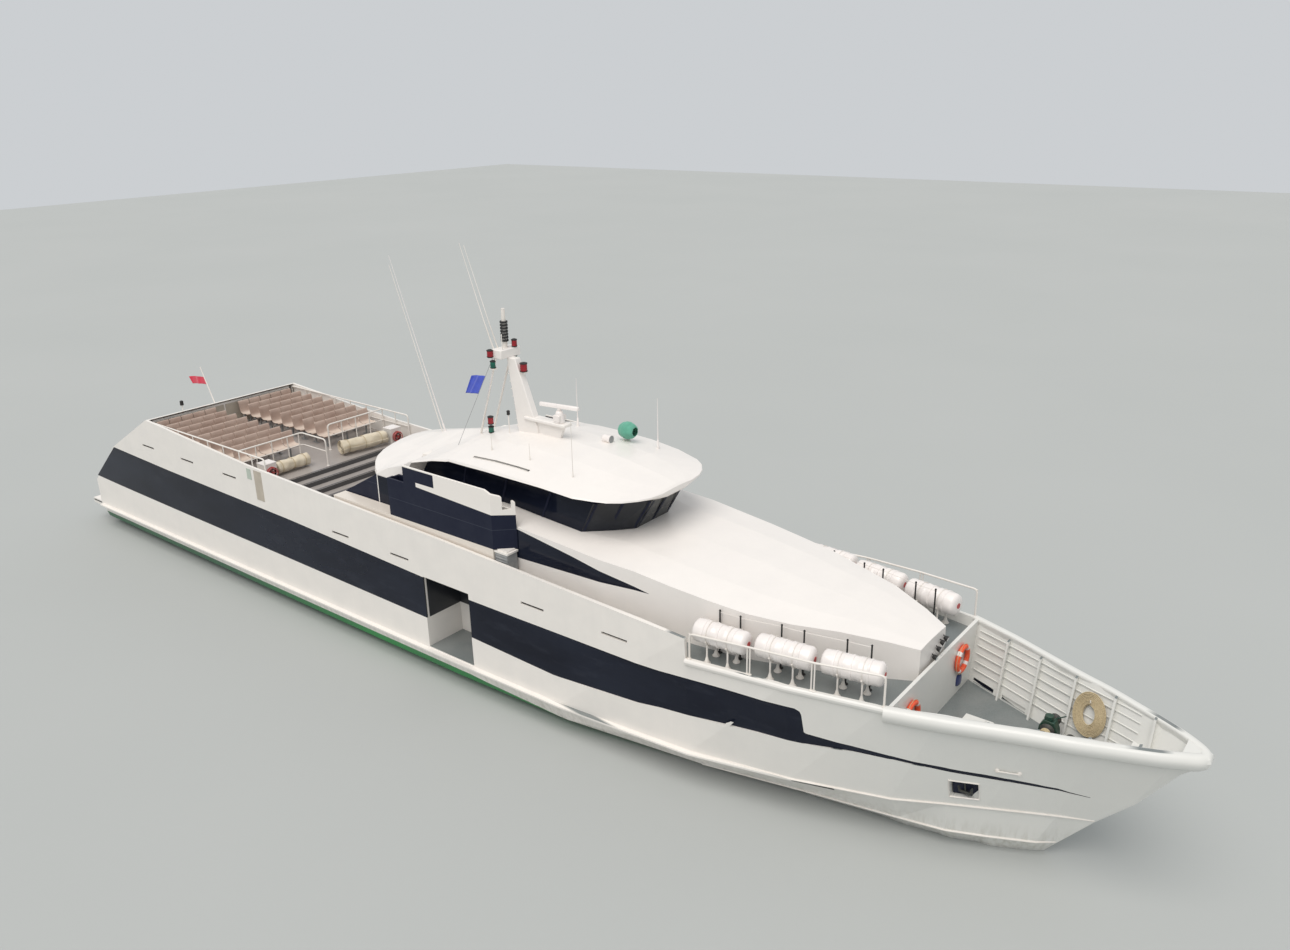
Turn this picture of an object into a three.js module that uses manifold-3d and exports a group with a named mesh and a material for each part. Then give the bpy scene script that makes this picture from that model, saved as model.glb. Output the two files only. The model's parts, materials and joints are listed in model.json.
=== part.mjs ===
// A fast passenger ferry, in millimetres. +X runs forward, +Y to port and +Z up.
// The origin is on the centreline, amidships, at the waterline.
import * as THREE from "three";
import { mergeVertices } from "three/addons/utils/BufferGeometryUtils.js";
import Module from "manifold-3d";

const wasm = await Module();
wasm.setup();

// Driving sizes
const GAP = 0.3; // between pieces that rest on each other
const WALL = 90; // plating with its frames
const MAIN_DECK = 950;
const UPPER_DECK = 3550;
const SEAT_DECK = 4150;
const FOREDECK = 2340;
const CABIN_TOP = 3450;
const BULKHEAD_X = 14180; // where the side decks end above the foredeck
const SEAT_DECK_FRONT = -6900;
const STERN_X = -18900;
const WHITE = 0xe9e6e0;
const DARK_GLASS = 0x1b2233;
const DECK_GREY = 0x8b9294;
const STEEL = 0xb9bcbc;

const root = new THREE.Group();

// Small helpers: geometry to solid and back, and named meshes
function solid(geometry) {
  const bare = geometry.index ? geometry.toNonIndexed() : geometry.clone();
  bare.deleteAttribute("normal");
  bare.deleteAttribute("uv");
  const merged = mergeVertices(bare, 1e-3);
  const triangles = [];
  const index = merged.index.array;
  for (let i = 0; i < index.length; i += 3) {
    const [a, b, c] = [index[i], index[i + 1], index[i + 2]];
    if (a !== b && b !== c && c !== a) triangles.push(a, b, c);
  }
  return new wasm.Manifold(
    new wasm.Mesh({
      numProp: 3,
      vertProperties: merged.attributes.position.array,
      triVerts: new Uint32Array(triangles),
    }),
  );
}

function geometryOf(body) {
  const mesh = body.getMesh();
  const geometry = new THREE.BufferGeometry();
  geometry.setAttribute("position", new THREE.BufferAttribute(new Float32Array(mesh.vertProperties), 3));
  geometry.setIndex(new THREE.BufferAttribute(new Uint32Array(mesh.triVerts), 1));
  return geometry;
}

function add(name, body, colour, roughness = 0.5, metalness = 0, parent = root) {
  const geometry = body.isBufferGeometry ? body : geometryOf(body);
  const flat = geometry.index ? geometry.toNonIndexed() : geometry;
  flat.computeVertexNormals();
  const mesh = new THREE.Mesh(flat, new THREE.MeshStandardMaterial({ color: colour, roughness, metalness }));
  mesh.name = name;
  parent.add(mesh);
  return mesh;
}

const join = (bodies) => bodies.reduce((sum, body) => sum.add(body));

function box(x0, x1, y0, y1, z0, z1) {
  const shape = new THREE.BoxGeometry(x1 - x0, y1 - y0, z1 - z0);
  return solid(shape.translate((x0 + x1) / 2, (y0 + y1) / 2, (z0 + z1) / 2));
}

// A round bar between two points
function bar(from, to, radius, sides = 8) {
  const a = new THREE.Vector3(...from);
  const b = new THREE.Vector3(...to);
  const along = new THREE.Vector3().subVectors(b, a);
  const shape = new THREE.CylinderGeometry(radius, radius, along.length(), sides);
  const turn = new THREE.Quaternion().setFromUnitVectors(
    new THREE.Vector3(0, 1, 0),
    along.clone().normalize(),
  );
  shape.applyQuaternion(turn);
  return solid(shape.translate(...a.add(b).multiplyScalar(0.5).toArray()));
}

// A flat outline of [x, z] points, given thickness across the boat
function sidePlate(points, y0, y1) {
  const shape = new THREE.Shape(points.map(([x, z]) => new THREE.Vector2(x, z)));
  const plate = new THREE.ExtrudeGeometry(shape, { depth: y1 - y0, bevelEnabled: false });
  plate.rotateX(Math.PI / 2).translate(0, y1, 0);
  return solid(plate);
}

// A flat outline of [x, y] points, given height
function deckPlate(points, z0, z1) {
  const shape = new THREE.Shape(points.map(([x, y]) => new THREE.Vector2(x, y)));
  const plate = new THREE.ExtrudeGeometry(shape, { depth: z1 - z0, bevelEnabled: false });
  return solid(plate.translate(0, 0, z0));
}

// A turned body: [radius, height] pairs about +Z
function turned(points, sides = 16) {
  const profile = points.map(([r, z]) => new THREE.Vector2(r, z));
  return new THREE.LatheGeometry(profile, sides).rotateX(Math.PI / 2);
}

// A closed body through rings of [x, y, z] points, all with the same count, from aft to forward
function loft(rings, plane = "yz") {
  const count = rings[0].length;
  const corners = [];
  const push = (...points) => points.forEach((point) => corners.push(...point));
  for (let i = 0; i + 1 < rings.length; i += 1) {
    for (let j = 0; j < count; j += 1) {
      const k = (j + 1) % count;
      const [a, b, c, d] = [rings[i][j], rings[i][k], rings[i + 1][k], rings[i + 1][j]];
      push(a, b, c, a, c, d);
    }
  }
  const cap = (ring, forward) => {
    const flat = ring.map(([x, y, z]) =>
      plane === "yz" ? new THREE.Vector2(y, z) : new THREE.Vector2(x, y),
    );
    const faces = THREE.ShapeUtils.triangulateShape(flat, []);
    const facing = THREE.ShapeUtils.area(flat) > 0;
    faces.forEach(([a, b, c]) => {
      if (facing === forward) push(ring[a], ring[b], ring[c]);
      else push(ring[a], ring[c], ring[b]);
    });
  };
  cap(rings[0], false);
  cap(rings[rings.length - 1], true);
  const geometry = new THREE.BufferGeometry();
  geometry.setAttribute("position", new THREE.Float32BufferAttribute(corners, 3));
  const body = solid(geometry);
  if (body.volume() > 0) return body;
  const turnedOut = [];
  for (let i = 0; i < corners.length; i += 9) {
    turnedOut.push(...corners.slice(i, i + 3), ...corners.slice(i + 6, i + 9));
    turnedOut.push(...corners.slice(i + 3, i + 6));
  }
  geometry.setAttribute("position", new THREE.Float32BufferAttribute(turnedOut, 3));
  return solid(geometry);
}

// A ring that is the same on both sides of the centreline, from its starboard half, bottom first
function mirroredRing(x, half) {
  const starboard = half.map(([y, z]) => [x, -y, z]);
  const port = half.filter(([y]) => y > 0).reverse().map(([y, z]) => [x, y, z]);
  return [...starboard, ...port];
}

const SIDES = [
  { name: "starboard", sign: -1 },
  { name: "port", sign: 1 },
];
const mirror = (body, sign) => (sign < 0 ? body : body.mirror([0, 1, 0]));

// Hull: x, keel height, then the half width and height of the chine, the knuckle and the sheer
const HULL = [
  [-18900, -800, 2850, 300, 3050, 900, 3050, 5300],
  [-14000, -950, 2880, 300, 3050, 900, 3050, 5150],
  [-7900, -1100, 2900, 300, 3050, 900, 3050, 4740],
  [-3000, -1200, 2900, 300, 3050, 900, 3050, 4600],
  [1500, -1270, 2890, 300, 3050, 900, 3050, 4480],
  [5500, -1300, 2780, 310, 3030, 930, 3050, 4320],
  [9480, -1300, 2320, 370, 2800, 1010, 3030, 4140],
  [12000, -1260, 1800, 420, 2420, 1110, 2860, 3770],
  [14180, -1120, 1410, 450, 1860, 1220, 2470, 3811],
  [15200, -1000, 1200, 455, 1390, 1270, 2115, 3790],
  [16000, -850, 850, 450, 1030, 1300, 1790, 3770],
  [16900, -120, 400, 440, 580, 1300, 1430, 3745],
  [17260, 340, 60, 380, 390, 1290, 1280, 3735],
  [17930, 1200, 45, 1215, 70, 1260, 1050, 3715],
  [18640, 1985, 45, 2000, 75, 2060, 740, 3690],
  [19320, 2990, 45, 3000, 75, 3060, 400, 3660],
  [19700, 3360, 45, 3370, 75, 3400, 150, 3620],
];

function hullRow(x) {
  let i = 0;
  while (i + 2 < HULL.length && HULL[i + 1][0] < x) i += 1;
  const t = (x - HULL[i][0]) / (HULL[i + 1][0] - HULL[i][0]);
  return HULL[i].map((value, k) => value + t * (HULL[i + 1][k] - value));
}

// Half width of the hull's outside at a place above the knuckle
function halfWidth(x, z) {
  const [, , , , knuckleY, knuckleZ, sheerY, sheerZ] = hullRow(x);
  const t = Math.max(0, (z - knuckleZ) / (sheerZ - knuckleZ));
  return knuckleY + t * (sheerY - knuckleY);
}

const hullRing = ([x, keelZ, chineY, chineZ, knuckleY, knuckleZ, sheerY, sheerZ]) =>
  mirroredRing(x, [
    [0, keelZ],
    [chineY, chineZ],
    [knuckleY, knuckleZ],
    [sheerY, sheerZ],
  ]);
const hullOutside = loft(HULL.map(hullRing));

// A space between two heights inside the plating, through stations along the hull
function inside(stations, low, high, wall) {
  const rings = stations.map((x) => {
    const y0 = Math.max(halfWidth(x, low) - wall, 30);
    const y1 = Math.max(halfWidth(x, high) - wall, 60);
    return [
      [x, -y0, low],
      [x, y0, low],
      [x, y1, high],
      [x, -y1, high],
    ];
  });
  return loft(rings);
}

// The raked stern end of the sides
const sternRake = sidePlate(
  [
    [-21000, 1900],
    [STERN_X, 1900],
    [-16900, 3630],
    [-14050, 5150],
    [-14050, 7000],
    [-21000, 7000],
  ],
  -4000,
  4000,
);

const RECESS = { aft: 470, forward: 2300, depth: 1270, top: 3150 };
const BOARDING = { x: 1400, sill: MAIN_DECK + 30, head: 2950 };
const recess = (sign, grow = 0) =>
  mirror(
    box(
      RECESS.aft - grow,
      RECESS.forward + grow,
      -4000,
      -3050 + RECESS.depth + grow,
      MAIN_DECK - grow,
      RECESS.top + grow,
    ),
    sign,
  );

// The step down from the raised seat deck to the upper deck, as three treads
const STEPS = [
  [SEAT_DECK_FRONT, SEAT_DECK - 150],
  [SEAT_DECK_FRONT + 400, SEAT_DECK - 300],
  [SEAT_DECK_FRONT + 800, SEAT_DECK - 450],
  [SEAT_DECK_FRONT + 1200, UPPER_DECK],
];

// Alcove in the raked stern, with the door to the cabin in its forward wall
const ALCOVE = { forward: -17700, half: 600, top: 2900 };
const alcove = (grow) =>
  box(
    -20000, ALCOVE.forward + grow,
    -ALCOVE.half - grow, ALCOVE.half + grow, MAIN_DECK - grow, ALCOVE.top + grow,
  );
const STERN_DOOR = { half: 400, sill: MAIN_DECK + 40, head: 2850 };

function cabinSpace() {
  const lower = inside([-18700, -7900, 1500, 5500, 9480, 12000, 12900], MAIN_DECK, CABIN_TOP, WALL);
  const upper = inside([-15600, -7900, -7200], CABIN_TOP - 1, SEAT_DECK - 100, WALL);
  const endWall = sternRake.translate([200, 0, 0]);
  const whole = lower.add(upper).subtract(endWall).subtract(alcove(WALL));
  return SIDES.reduce((space, { sign }) => space.subtract(recess(sign, WALL)), whole);
}

function openDecks() {
  const seats = inside([-15000, -7900, SEAT_DECK_FRONT], SEAT_DECK, 5600, WALL);
  const side = inside([-5000, 1500, 5500, 9480, 12000, BULKHEAD_X], UPPER_DECK, 5600, WALL);
  const steps = STEPS.map(([x, z]) => inside([x, -4900], z, 5600, WALL));
  const bow = inside([BULKHEAD_X + 80, 16000, 17260, 18300], FOREDECK, 5600, WALL);
  const peak = inside([18299, 18640, 19320], 3050, 5600, WALL);
  const nib = sternRake.translate([WALL, 0, 0]);
  return join([seats.subtract(nib), side, bow, peak, ...steps]);
}

// The sides drop from the bulwark to the low coaming along the rafts
const COAMING = [
  [9480, 3600],
  [12000, 3740],
  [BULKHEAD_X, 3800],
];
const sideCut = sidePlate([...COAMING, [BULKHEAD_X, 6000], [9480, 6000]], -4000, 4000);

// Dark window bands, set into the plating: x, lower edge, upper edge
const AFT_BAND = [
  [-18750, 2090, 2100],
  [-16900, 2050, 3600],
  [-12960, 2000, 3480],
  [-5800, 1930, 3350],
  [RECESS.aft, 1860, 3130],
];
const FORWARD_BAND = [
  [RECESS.forward, 1830, 2980],
  [5300, 1720, 3000],
  [8000, 1860, 3010],
  [8700, 1965, 3020],
  [10500, 2140, 3135],
  [11240, 2200, 3165],
  [12200, 2240, 3190],
  [12310, 2245, 3140],
  [12345, 2250, 3060],
  [12380, 2260, 2590],
  [12430, 2265, 2565],
  [13410, 2375, 2545],
  [14255, 2400, 2495],
  [15345, 2265, 2365],
  [16440, 2195, 2295],
  [17320, 2105, 2160],
  [17850, 2015, 2030],
];
const PANEL = 40;

// A table of x and heights, with rows added where the hull has its stations
function withHullStations(table) {
  const row = (x) => {
    const i = table.findIndex((next, k) => k > 0 && next[0] >= x);
    const t = (x - table[i - 1][0]) / (table[i][0] - table[i - 1][0]);
    return table[i].map((value, k) => table[i - 1][k] + t * (value - table[i - 1][k]));
  };
  const first = table[0][0];
  const last = table[table.length - 1][0];
  const between = HULL.map(([x]) => x).filter((x) => x > first && x < last && !table.some((r) => r[0] === x));
  return [...table, ...between.map(row)].sort((a, b) => a[0] - b[0]);
}

function bandPanel(stations, outer, inner, grow = 0) {
  return loft(
    withHullStations(stations).map(([x, low, high]) => [
      [x, -(halfWidth(x, low) + outer), low - grow],
      [x, -(halfWidth(x, high) + outer), high + grow],
      [x, -(halfWidth(x, high) - inner), high + grow],
      [x, -(halfWidth(x, low) - inner), low - grow],
    ]),
  );
}
const grown = (stations) =>
  stations.map(([x, low, high], i) => {
    if (i === 0) return [x - 1, low, high];
    if (i === stations.length - 1) return [x + 1, low, high];
    return [x, low, high];
  });

// Windows cut through the plating behind the bands: aft end, forward end, sill, head
const CABIN_WINDOWS = [
  [-16300, -14600, 2180, 3300],
  [-14200, -12500, 2180, 3300],
  [-12100, -10400, 2150, 3250],
  [-10000, -8300, 2120, 3250],
  [-7600, -5900, 2100, 3220],
  [-5500, -3800, 2080, 3180],
  [-3400, -1700, 2050, 3100],
  [3200, 4900, 1950, 2850],
  [5300, 7000, 1950, 2880],
  [7400, 9100, 2100, 2900],
  [9500, 11200, 2300, 3000],
];

// Antifouling covers the hull below this line, which dips forward: x, height
const PAINT_LINE = [
  [-21000, 520],
  [2000, 520],
  [9000, 60],
  [17000, -380],
  [21000, -380],
];
const belowPaint = sidePlate([...PAINT_LINE, [21000, -3000], [-21000, -3000]], -4000, 4000);

// Where the shafts and rudders sit under the hull: x, height
const SHAFT = { y: 1100, forward: [-12200, -480], aft: [-17480, -1190] };
const RUDDER = { x: -18250, top: -560, boss: 110, stock: 55, chord: 520, foot: -1650 };

// Pocket for the anchor on each side of the bow: outline, and its floor inside the plating
const anchorPocket = sidePlate([[15300, 1560], [15830, 1530], [15860, 2000], [15310, 2020]], -2400, -1150);

// Drain slots in the sides, level with the decks inside: middle x, height
const SIDE_SLOTS = [
  [-14200, 4130],
  [-11600, 4130],
  [-9000, 4130],
  [-3200, 3500],
  [-500, 3500],
  [4700, 3500],
  [7400, 3500],
];

// Foredeck: drain slots along the deck, and the stiffeners of the bulwark
const DECK_SLOTS = [
  [14400, 14980],
  [15220, 15860],
  [16960, 17400],
];
const STIFFENERS = [15134, 15985, 16870, 17777, 18635];

// A rounded cap along the top of the plating: a path of x, half width and height, and its size
const BOW_CAP = [
  [14120, 2450, 3812],
  [15200, 2085, 3790],
  [16000, 1760, 3770],
  [16900, 1400, 3745],
  [17600, 1150, 3727],
  [18200, 890, 3705],
  [18640, 700, 3690],
  [19000, 530, 3675],
  [19320, 350, 3660],
  [19560, 190, 3640],
  [19690, 70, 3628],
];
const COAMING_CAP = [
  [9480, 3000, 3612],
  [12000, 2830, 3742],
  [14180, 2440, 3802],
];
const CAP_SHAPE = [
  [-80, -80],
  [-30, -340],
  [20, -340],
  [110, -230],
  [140, -120],
  [110, -40],
  [40, 12],
  [-40, 12],
  [-80, -15],
];
function roundedCap(path, size) {
  const rings = path.map(([x, y, z], i) => {
    const [x0, y0] = path[Math.max(i - 1, 0)];
    const [x1, y1] = path[Math.min(i + 1, path.length - 1)];
    const length = Math.hypot(x1 - x0, y1 - y0);
    const out = [(y1 - y0) / length, (x0 - x1) / length];
    return CAP_SHAPE.map(([across, up]) => {
      const reach = across * size;
      return [x + out[0] * reach, y + out[1] * reach, z + up * size];
    });
  });
  return loft(rings);
}
const across = (path) => [...path.map(([x, y, z]) => [x, -y, z]), ...path.slice().reverse()];

// Stern platform, level with the rub rail
const PLATFORM = { aft: -19800, top: 900, bottom: 700, half: 2950 };

function buildHull() {
  let hull = hullOutside.subtract(sternRake).subtract(cabinSpace()).subtract(openDecks()).subtract(sideCut);
  SIDES.forEach(({ sign }) => {
    hull = hull.subtract(recess(sign));
    hull = hull.subtract(mirror(bandPanel(grown(AFT_BAND), 60, PANEL + GAP, GAP), sign));
    hull = hull.subtract(mirror(bandPanel(grown(FORWARD_BAND), 60, PANEL + GAP, GAP), sign));
    CABIN_WINDOWS.forEach(([aft, forward, sill, head]) => {
      hull = hull.subtract(mirror(box(aft, forward, -3300, -2500, sill, head), sign));
    });
    // the way from the boarding recess into the cabin
    hull = hull.subtract(
      mirror(box(BOARDING.x - 450, BOARDING.x + 450, -1950, -1500, BOARDING.sill, BOARDING.head), sign),
    );
    // anchor pocket
    hull = hull.subtract(mirror(anchorPocket, sign));
    SIDE_SLOTS.forEach(([x, z]) => {
      const slot = [[x - 400, z - 35, z + 35], [x + 400, z - 35, z + 35]];
      hull = hull.subtract(mirror(bandPanel(slot, 60, 50), sign));
    });
  });
  DECK_SLOTS.forEach(([aft, forward]) => {
    hull = hull.subtract(inside([aft, forward], FOREDECK + 10, FOREDECK + 120, 40));
  });
  const ribs = STIFFENERS.map((x) => {
    const row = inside([x - 25, x + 25], FOREDECK - 20, 3700, 60);
    return row.subtract(inside([x - 30, x + 30], FOREDECK - 10, 3760, 230));
  });
  hull = hull.add(join(ribs).subtract(box(14000, 20000, -4000, 4000, 2000, FOREDECK - 15)));
  const coamingCap = roundedCap(COAMING_CAP.map(([x, y, z]) => [x, -y, z]), 0.5);
  const coamingCaps = SIDES.map(({ sign }) => mirror(coamingCap, sign));
  hull = hull.add(join([roundedCap(across(BOW_CAP), 1), ...coamingCaps]));
  hull = hull.subtract(alcove(0));
  const { half, sill, head } = STERN_DOOR;
  hull = hull.subtract(box(ALCOVE.forward - 10, ALCOVE.forward + 200, -half, half, sill, head));
  SIDES.forEach(({ sign }) => {
    const y = sign * SHAFT.y;
    hull = hull.add(bar([RUDDER.x, y, RUDDER.top], [RUDDER.x, y, -250], RUDDER.boss, 12));
  });
  hull = hull.add(
    box(PLATFORM.aft, STERN_X + 100, -PLATFORM.half, PLATFORM.half, PLATFORM.bottom, PLATFORM.top),
  );
  return hull;
}
// Rub rails along the knuckle
const RUB_RAIL = { low: 820, high: 915, out: 130 };
function rubRail() {
  const stations = [-18800, -7900, 1500, 5500, 9480, 12000];
  return loft(
    stations.map((x) => {
      const y = halfWidth(x, 900);
      const z = hullRow(x)[5] - 900;
      const out = x > 10000 ? 20 : RUB_RAIL.out;
      return [
        [x, -(y - 60), RUB_RAIL.low + z],
        [x, -(y - 60), RUB_RAIL.high + z],
        [x, -(y + out), RUB_RAIL.high + z - 20],
        [x, -(y + out), RUB_RAIL.low + z + 30],
      ];
    }),
  );
}

const deck = FOREDECK + GAP;
const HATCH = { aft: 14900, forward: 15500, half: 300, rim: 50, height: 120 };
const hatchBox = (inset, low, high) =>
  box(HATCH.aft + inset, HATCH.forward - inset, -HATCH.half + inset, HATCH.half - inset, low, high);
const hatchCoaming = hatchBox(0, FOREDECK - 20, deck + HATCH.height).subtract(
  hatchBox(HATCH.rim, FOREDECK, deck + HATCH.height + 10),
);
const wholeHull = join([buildHull(), hatchCoaming, ...SIDES.map(({ sign }) => mirror(rubRail(), sign))]);
add("hull_topsides", wholeHull.subtract(belowPaint), WHITE, 0.4);
add("hull_bottom", wholeHull.intersect(belowPaint.translate([0, 0, -GAP])), 0x2e7d43, 0.6);

SIDES.forEach(({ name, sign }) => {
  const aftBand = bandPanel(AFT_BAND, 0, PANEL);
  add(`window_band_aft_${name}`, mirror(aftBand, sign), DARK_GLASS, 0.15);
  add(`window_band_forward_${name}`, mirror(bandPanel(FORWARD_BAND, 0, PANEL), sign), DARK_GLASS, 0.15);
});

// Deckhouse: x, roof edge half width and height, shoulder half width and height, crown height
const HOUSE = [
  [-1940, 2440, 5520, 1750, 5560, 5580],
  [-800, 2440, 5520, 1750, 5560, 5580],
  [-500, 2440, 5300, 1750, 5475, 5495],
  [2840, 2440, 5280, 1750, 5420, 5440],
  [3780, 2440, 5240, 1750, 5345, 5370],
  [5250, 2440, 5150, 1700, 5250, 5290],
  [6500, 2444, 5068, 1400, 5190, 5230],
  [7500, 2338, 4996, 1400, 5110, 5150],
  [8500, 2295, 4890, 1380, 5010, 5060],
  [9500, 2205, 4783, 1320, 4910, 4960],
  [10500, 2076, 4687, 1250, 4810, 4850],
  [11500, 1786, 4605, 1070, 4700, 4740],
  [12500, 1412, 4577, 850, 4640, 4660],
  [13500, 967, 4439, 580, 4480, 4500],
  [14100, 670, 4310, 400, 4330, 4335],
];
const HOUSE_AFT = HOUSE[0][0];
const HOUSE_WALL = 80;
const houseRings = (inset, base, x0, x1) =>
  HOUSE.map(([x, edgeY, edgeZ, shoulderY, shoulderZ, crownZ], i) => {
    const end = i === 0 ? x0 : i === HOUSE.length - 1 ? x1 : x;
    return mirroredRing(end, [
      [0, base],
      [edgeY + 20 - inset, base],
      [edgeY - inset, edgeZ - inset],
      [shoulderY - inset / 2, shoulderZ - inset],
      [0, crownZ - inset],
    ]);
  });
const houseOutside = loft(houseRings(0, UPPER_DECK + GAP, HOUSE_AFT, 14100));
const houseSpace = loft(
  houseRings(HOUSE_WALL, UPPER_DECK - 100, HOUSE_AFT + HOUSE_WALL, 14100 - HOUSE_WALL),
);

// Wheelhouse: plan corners at the sill and at the head, aft to forward on one side
const WHEELHOUSE = {
  bottom: 4050,
  sill: 5240,
  head: 6150,
  plan: [
    { low: [-800, 1700], high: [-760, 1650] },
    { low: [5268, 1678], high: [5690, 1630] },
    { low: [6237, 672], high: [6750, 615] },
  ],
};
function wheelhouseRing(z, grow) {
  const t = (z - WHEELHOUSE.sill) / (WHEELHOUSE.head - WHEELHOUSE.sill);
  const at = ({ low, high }) => [low[0] + t * (high[0] - low[0]), low[1] + t * (high[1] - low[1])];
  const [aft, side, front] = WHEELHOUSE.plan.map(at);
  const half = [
    [aft[0] - grow, aft[1] + grow],
    [side[0] + grow * 0.4, side[1] + grow],
    [front[0] + grow, front[1] + grow * 0.4],
  ];
  const starboard = half.map(([x, y]) => [x, -y, z]);
  const port = half.slice().reverse().map(([x, y]) => [x, y, z]);
  return [...starboard, ...port];
}
// The aft wall of the wheelhouse has a doorway from the landing inside the deckhouse
const wheelhouseDoorway = box(-1000, -600, -400, 400, 4050, 5350);
const wheelhouseSolid = (grow) =>
  loft([wheelhouseRing(WHEELHOUSE.bottom, grow), wheelhouseRing(WHEELHOUSE.head, grow)], "xy");
const slab = (z0, z1) => box(-5000, 10000, -4000, 4000, z0, z1);

const houseDoorway = { y0: -1500, y1: -800, z0: 3590, z1: 5250 };
const BRIDGE_FLOOR = 3950;
const houseWindows = [
  [-1700, -500, 4450, 5100],
  [-200, 1400, 4450, 5100],
  [1700, 3400, 4450, 5100],
  [4100, 5600, 4550, 4900],
];
// The dark side windows of the deckhouse taper forward: x, lower edge, upper edge
const HOUSE_BAND = [
  [-1900, 4350, 5490],
  [-800, 4356, 5490],
  [-500, 4358, 5270],
  [2840, 4376, 5190],
  [3780, 4383, 5180],
  [5250, 4431, 4970],
  [5600, 4443, 4920],
  [6500, 4472, 4767],
  [7500, 4505, 4597],
  [7930, 4519, 4524],
];
function houseHalf(x, z) {
  let i = 0;
  while (i + 2 < HOUSE.length && HOUSE[i + 1][0] < x) i += 1;
  const t = (x - HOUSE[i][0]) / (HOUSE[i + 1][0] - HOUSE[i][0]);
  const edgeY = HOUSE[i][1] + t * (HOUSE[i + 1][1] - HOUSE[i][1]);
  const edgeZ = HOUSE[i][2] + t * (HOUSE[i + 1][2] - HOUSE[i][2]);
  return edgeY + (20 * (edgeZ - z)) / (edgeZ - UPPER_DECK - GAP);
}
const housePanel = (table, outer, inner, grow) =>
  loft(
    table.map(([x, low, high]) => [
      [x, -(houseHalf(x, low) + outer), low - grow],
      [x, -(houseHalf(x, high) + outer), high + grow],
      [x, -(houseHalf(x, high) - inner), high + grow],
      [x, -(houseHalf(x, low) - inner), low - grow],
    ]),
  );
let house = houseOutside.subtract(houseSpace).subtract(wheelhouseSolid(GAP));
house = house.subtract(
  box(
    HOUSE_AFT - 100, HOUSE_AFT + 100,
    houseDoorway.y0, houseDoorway.y1, houseDoorway.z0, houseDoorway.z1,
  ),
);
houseWindows.forEach(([x0, x1, z0, z1]) => {
  house = house.subtract(box(x0, x1, -2800, -2200, z0, z1)).subtract(box(x0, x1, 2200, 2800, z0, z1));
});
SIDES.forEach(({ sign }) => {
  house = house.subtract(mirror(housePanel(grown(HOUSE_BAND), 60, PANEL + GAP, GAP), sign));
});
add("deckhouse", house, WHITE, 0.35);
// Beside the way in from the steps, a raked screen carries each side wall of the deckhouse aft
const SCREEN = { aft: -3510, foot: 4660, thick: 50 };
// A trunk along each side deck, under the screen and the bridge wing
const TRUNK = { aft: -3500, front: 3250, top: 4659.7, inner: 2465, outer: 2900 };
SIDES.forEach(({ name, sign }) => {
  const screen = sidePlate(
    [[SCREEN.aft, UPPER_DECK + GAP], [HOUSE_AFT - GAP, UPPER_DECK + GAP],
      [HOUSE_AFT - GAP, 5515], [SCREEN.aft, SCREEN.foot]],
    -2440, -2440 + SCREEN.thick,
  );
  add(`entry_screen_${name}`, mirror(screen, sign), DARK_GLASS, 0.3);
  const trunk = box(TRUNK.aft, TRUNK.front, -TRUNK.outer, -TRUNK.inner, UPPER_DECK + GAP, TRUNK.top);
  add(`side_trunk_${name}`, mirror(trunk, sign), WHITE, 0.4);
});
SIDES.forEach(({ name, sign }) => {
  add(`house_window_${name}`, mirror(housePanel(HOUSE_BAND, 0, PANEL, 0), sign), DARK_GLASS, 0.15);
});
// Inside: the raised bridge floor with a step, the helm console and two chairs
const bridgeFloor = box(-1400, 5500, -1900, 1900, UPPER_DECK + GAP, BRIDGE_FLOOR);
const chair = (y) =>
  join([
    bar([3300, y, BRIDGE_FLOOR - 20], [3300, y, BRIDGE_FLOOR + 520], 60),
    box(3050, 3550, y - 260, y + 260, BRIDGE_FLOOR + 500, BRIDGE_FLOOR + 620),
    box(3000, 3100, y - 260, y + 260, BRIDGE_FLOOR + 520, BRIDGE_FLOOR + 1250),
  ]);
const helm = box(4200, 4800, -1300, 1300, BRIDGE_FLOOR - 20, BRIDGE_FLOOR + 1100);
add("bridge_interior", join([bridgeFloor, helm, chair(-600), chair(600)]), 0x4d5053, 0.7);

const windowSlab = box(-400, 8000, -2600, 2600, 5480, 6060);
const pillarAt = ({ low, high }, sign) => {
  const side = ([x, y], z) => [x, sign * y * 0.98, z];
  return bar(side(low, WHEELHOUSE.sill), side(high, WHEELHOUSE.head), 90, 6);
};
const pillars = [];
SIDES.forEach(({ sign }) => {
  WHEELHOUSE.plan.forEach((corner) => pillars.push(pillarAt(corner, sign)));
  [900, 2400, 3900].forEach((x) => pillars.push(bar([x, sign * 1650, 5200], [x, sign * 1650, 6200], 90, 6)));
});
const wheelhouse = wheelhouseSolid(0)
  .subtract(wheelhouseSolid(-70).intersect(slab(4000, WHEELHOUSE.head - 60)))
  .subtract(windowSlab.subtract(join(pillars)))
  .subtract(wheelhouseDoorway);
add("wheelhouse", wheelhouse, 0x23283a, 0.5);
const glass = wheelhouseSolid(25)
  .intersect(slab(WHEELHOUSE.sill, 6090))
  .subtract(wheelhouseSolid(GAP))
  .subtract(houseOutside.translate([0, 0, 2]))
  .subtract(box(-2000, -600, -3000, 3000, 5000, 7000));
add("wheelhouse_glass", glass, DARK_GLASS, 0.08);

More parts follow.
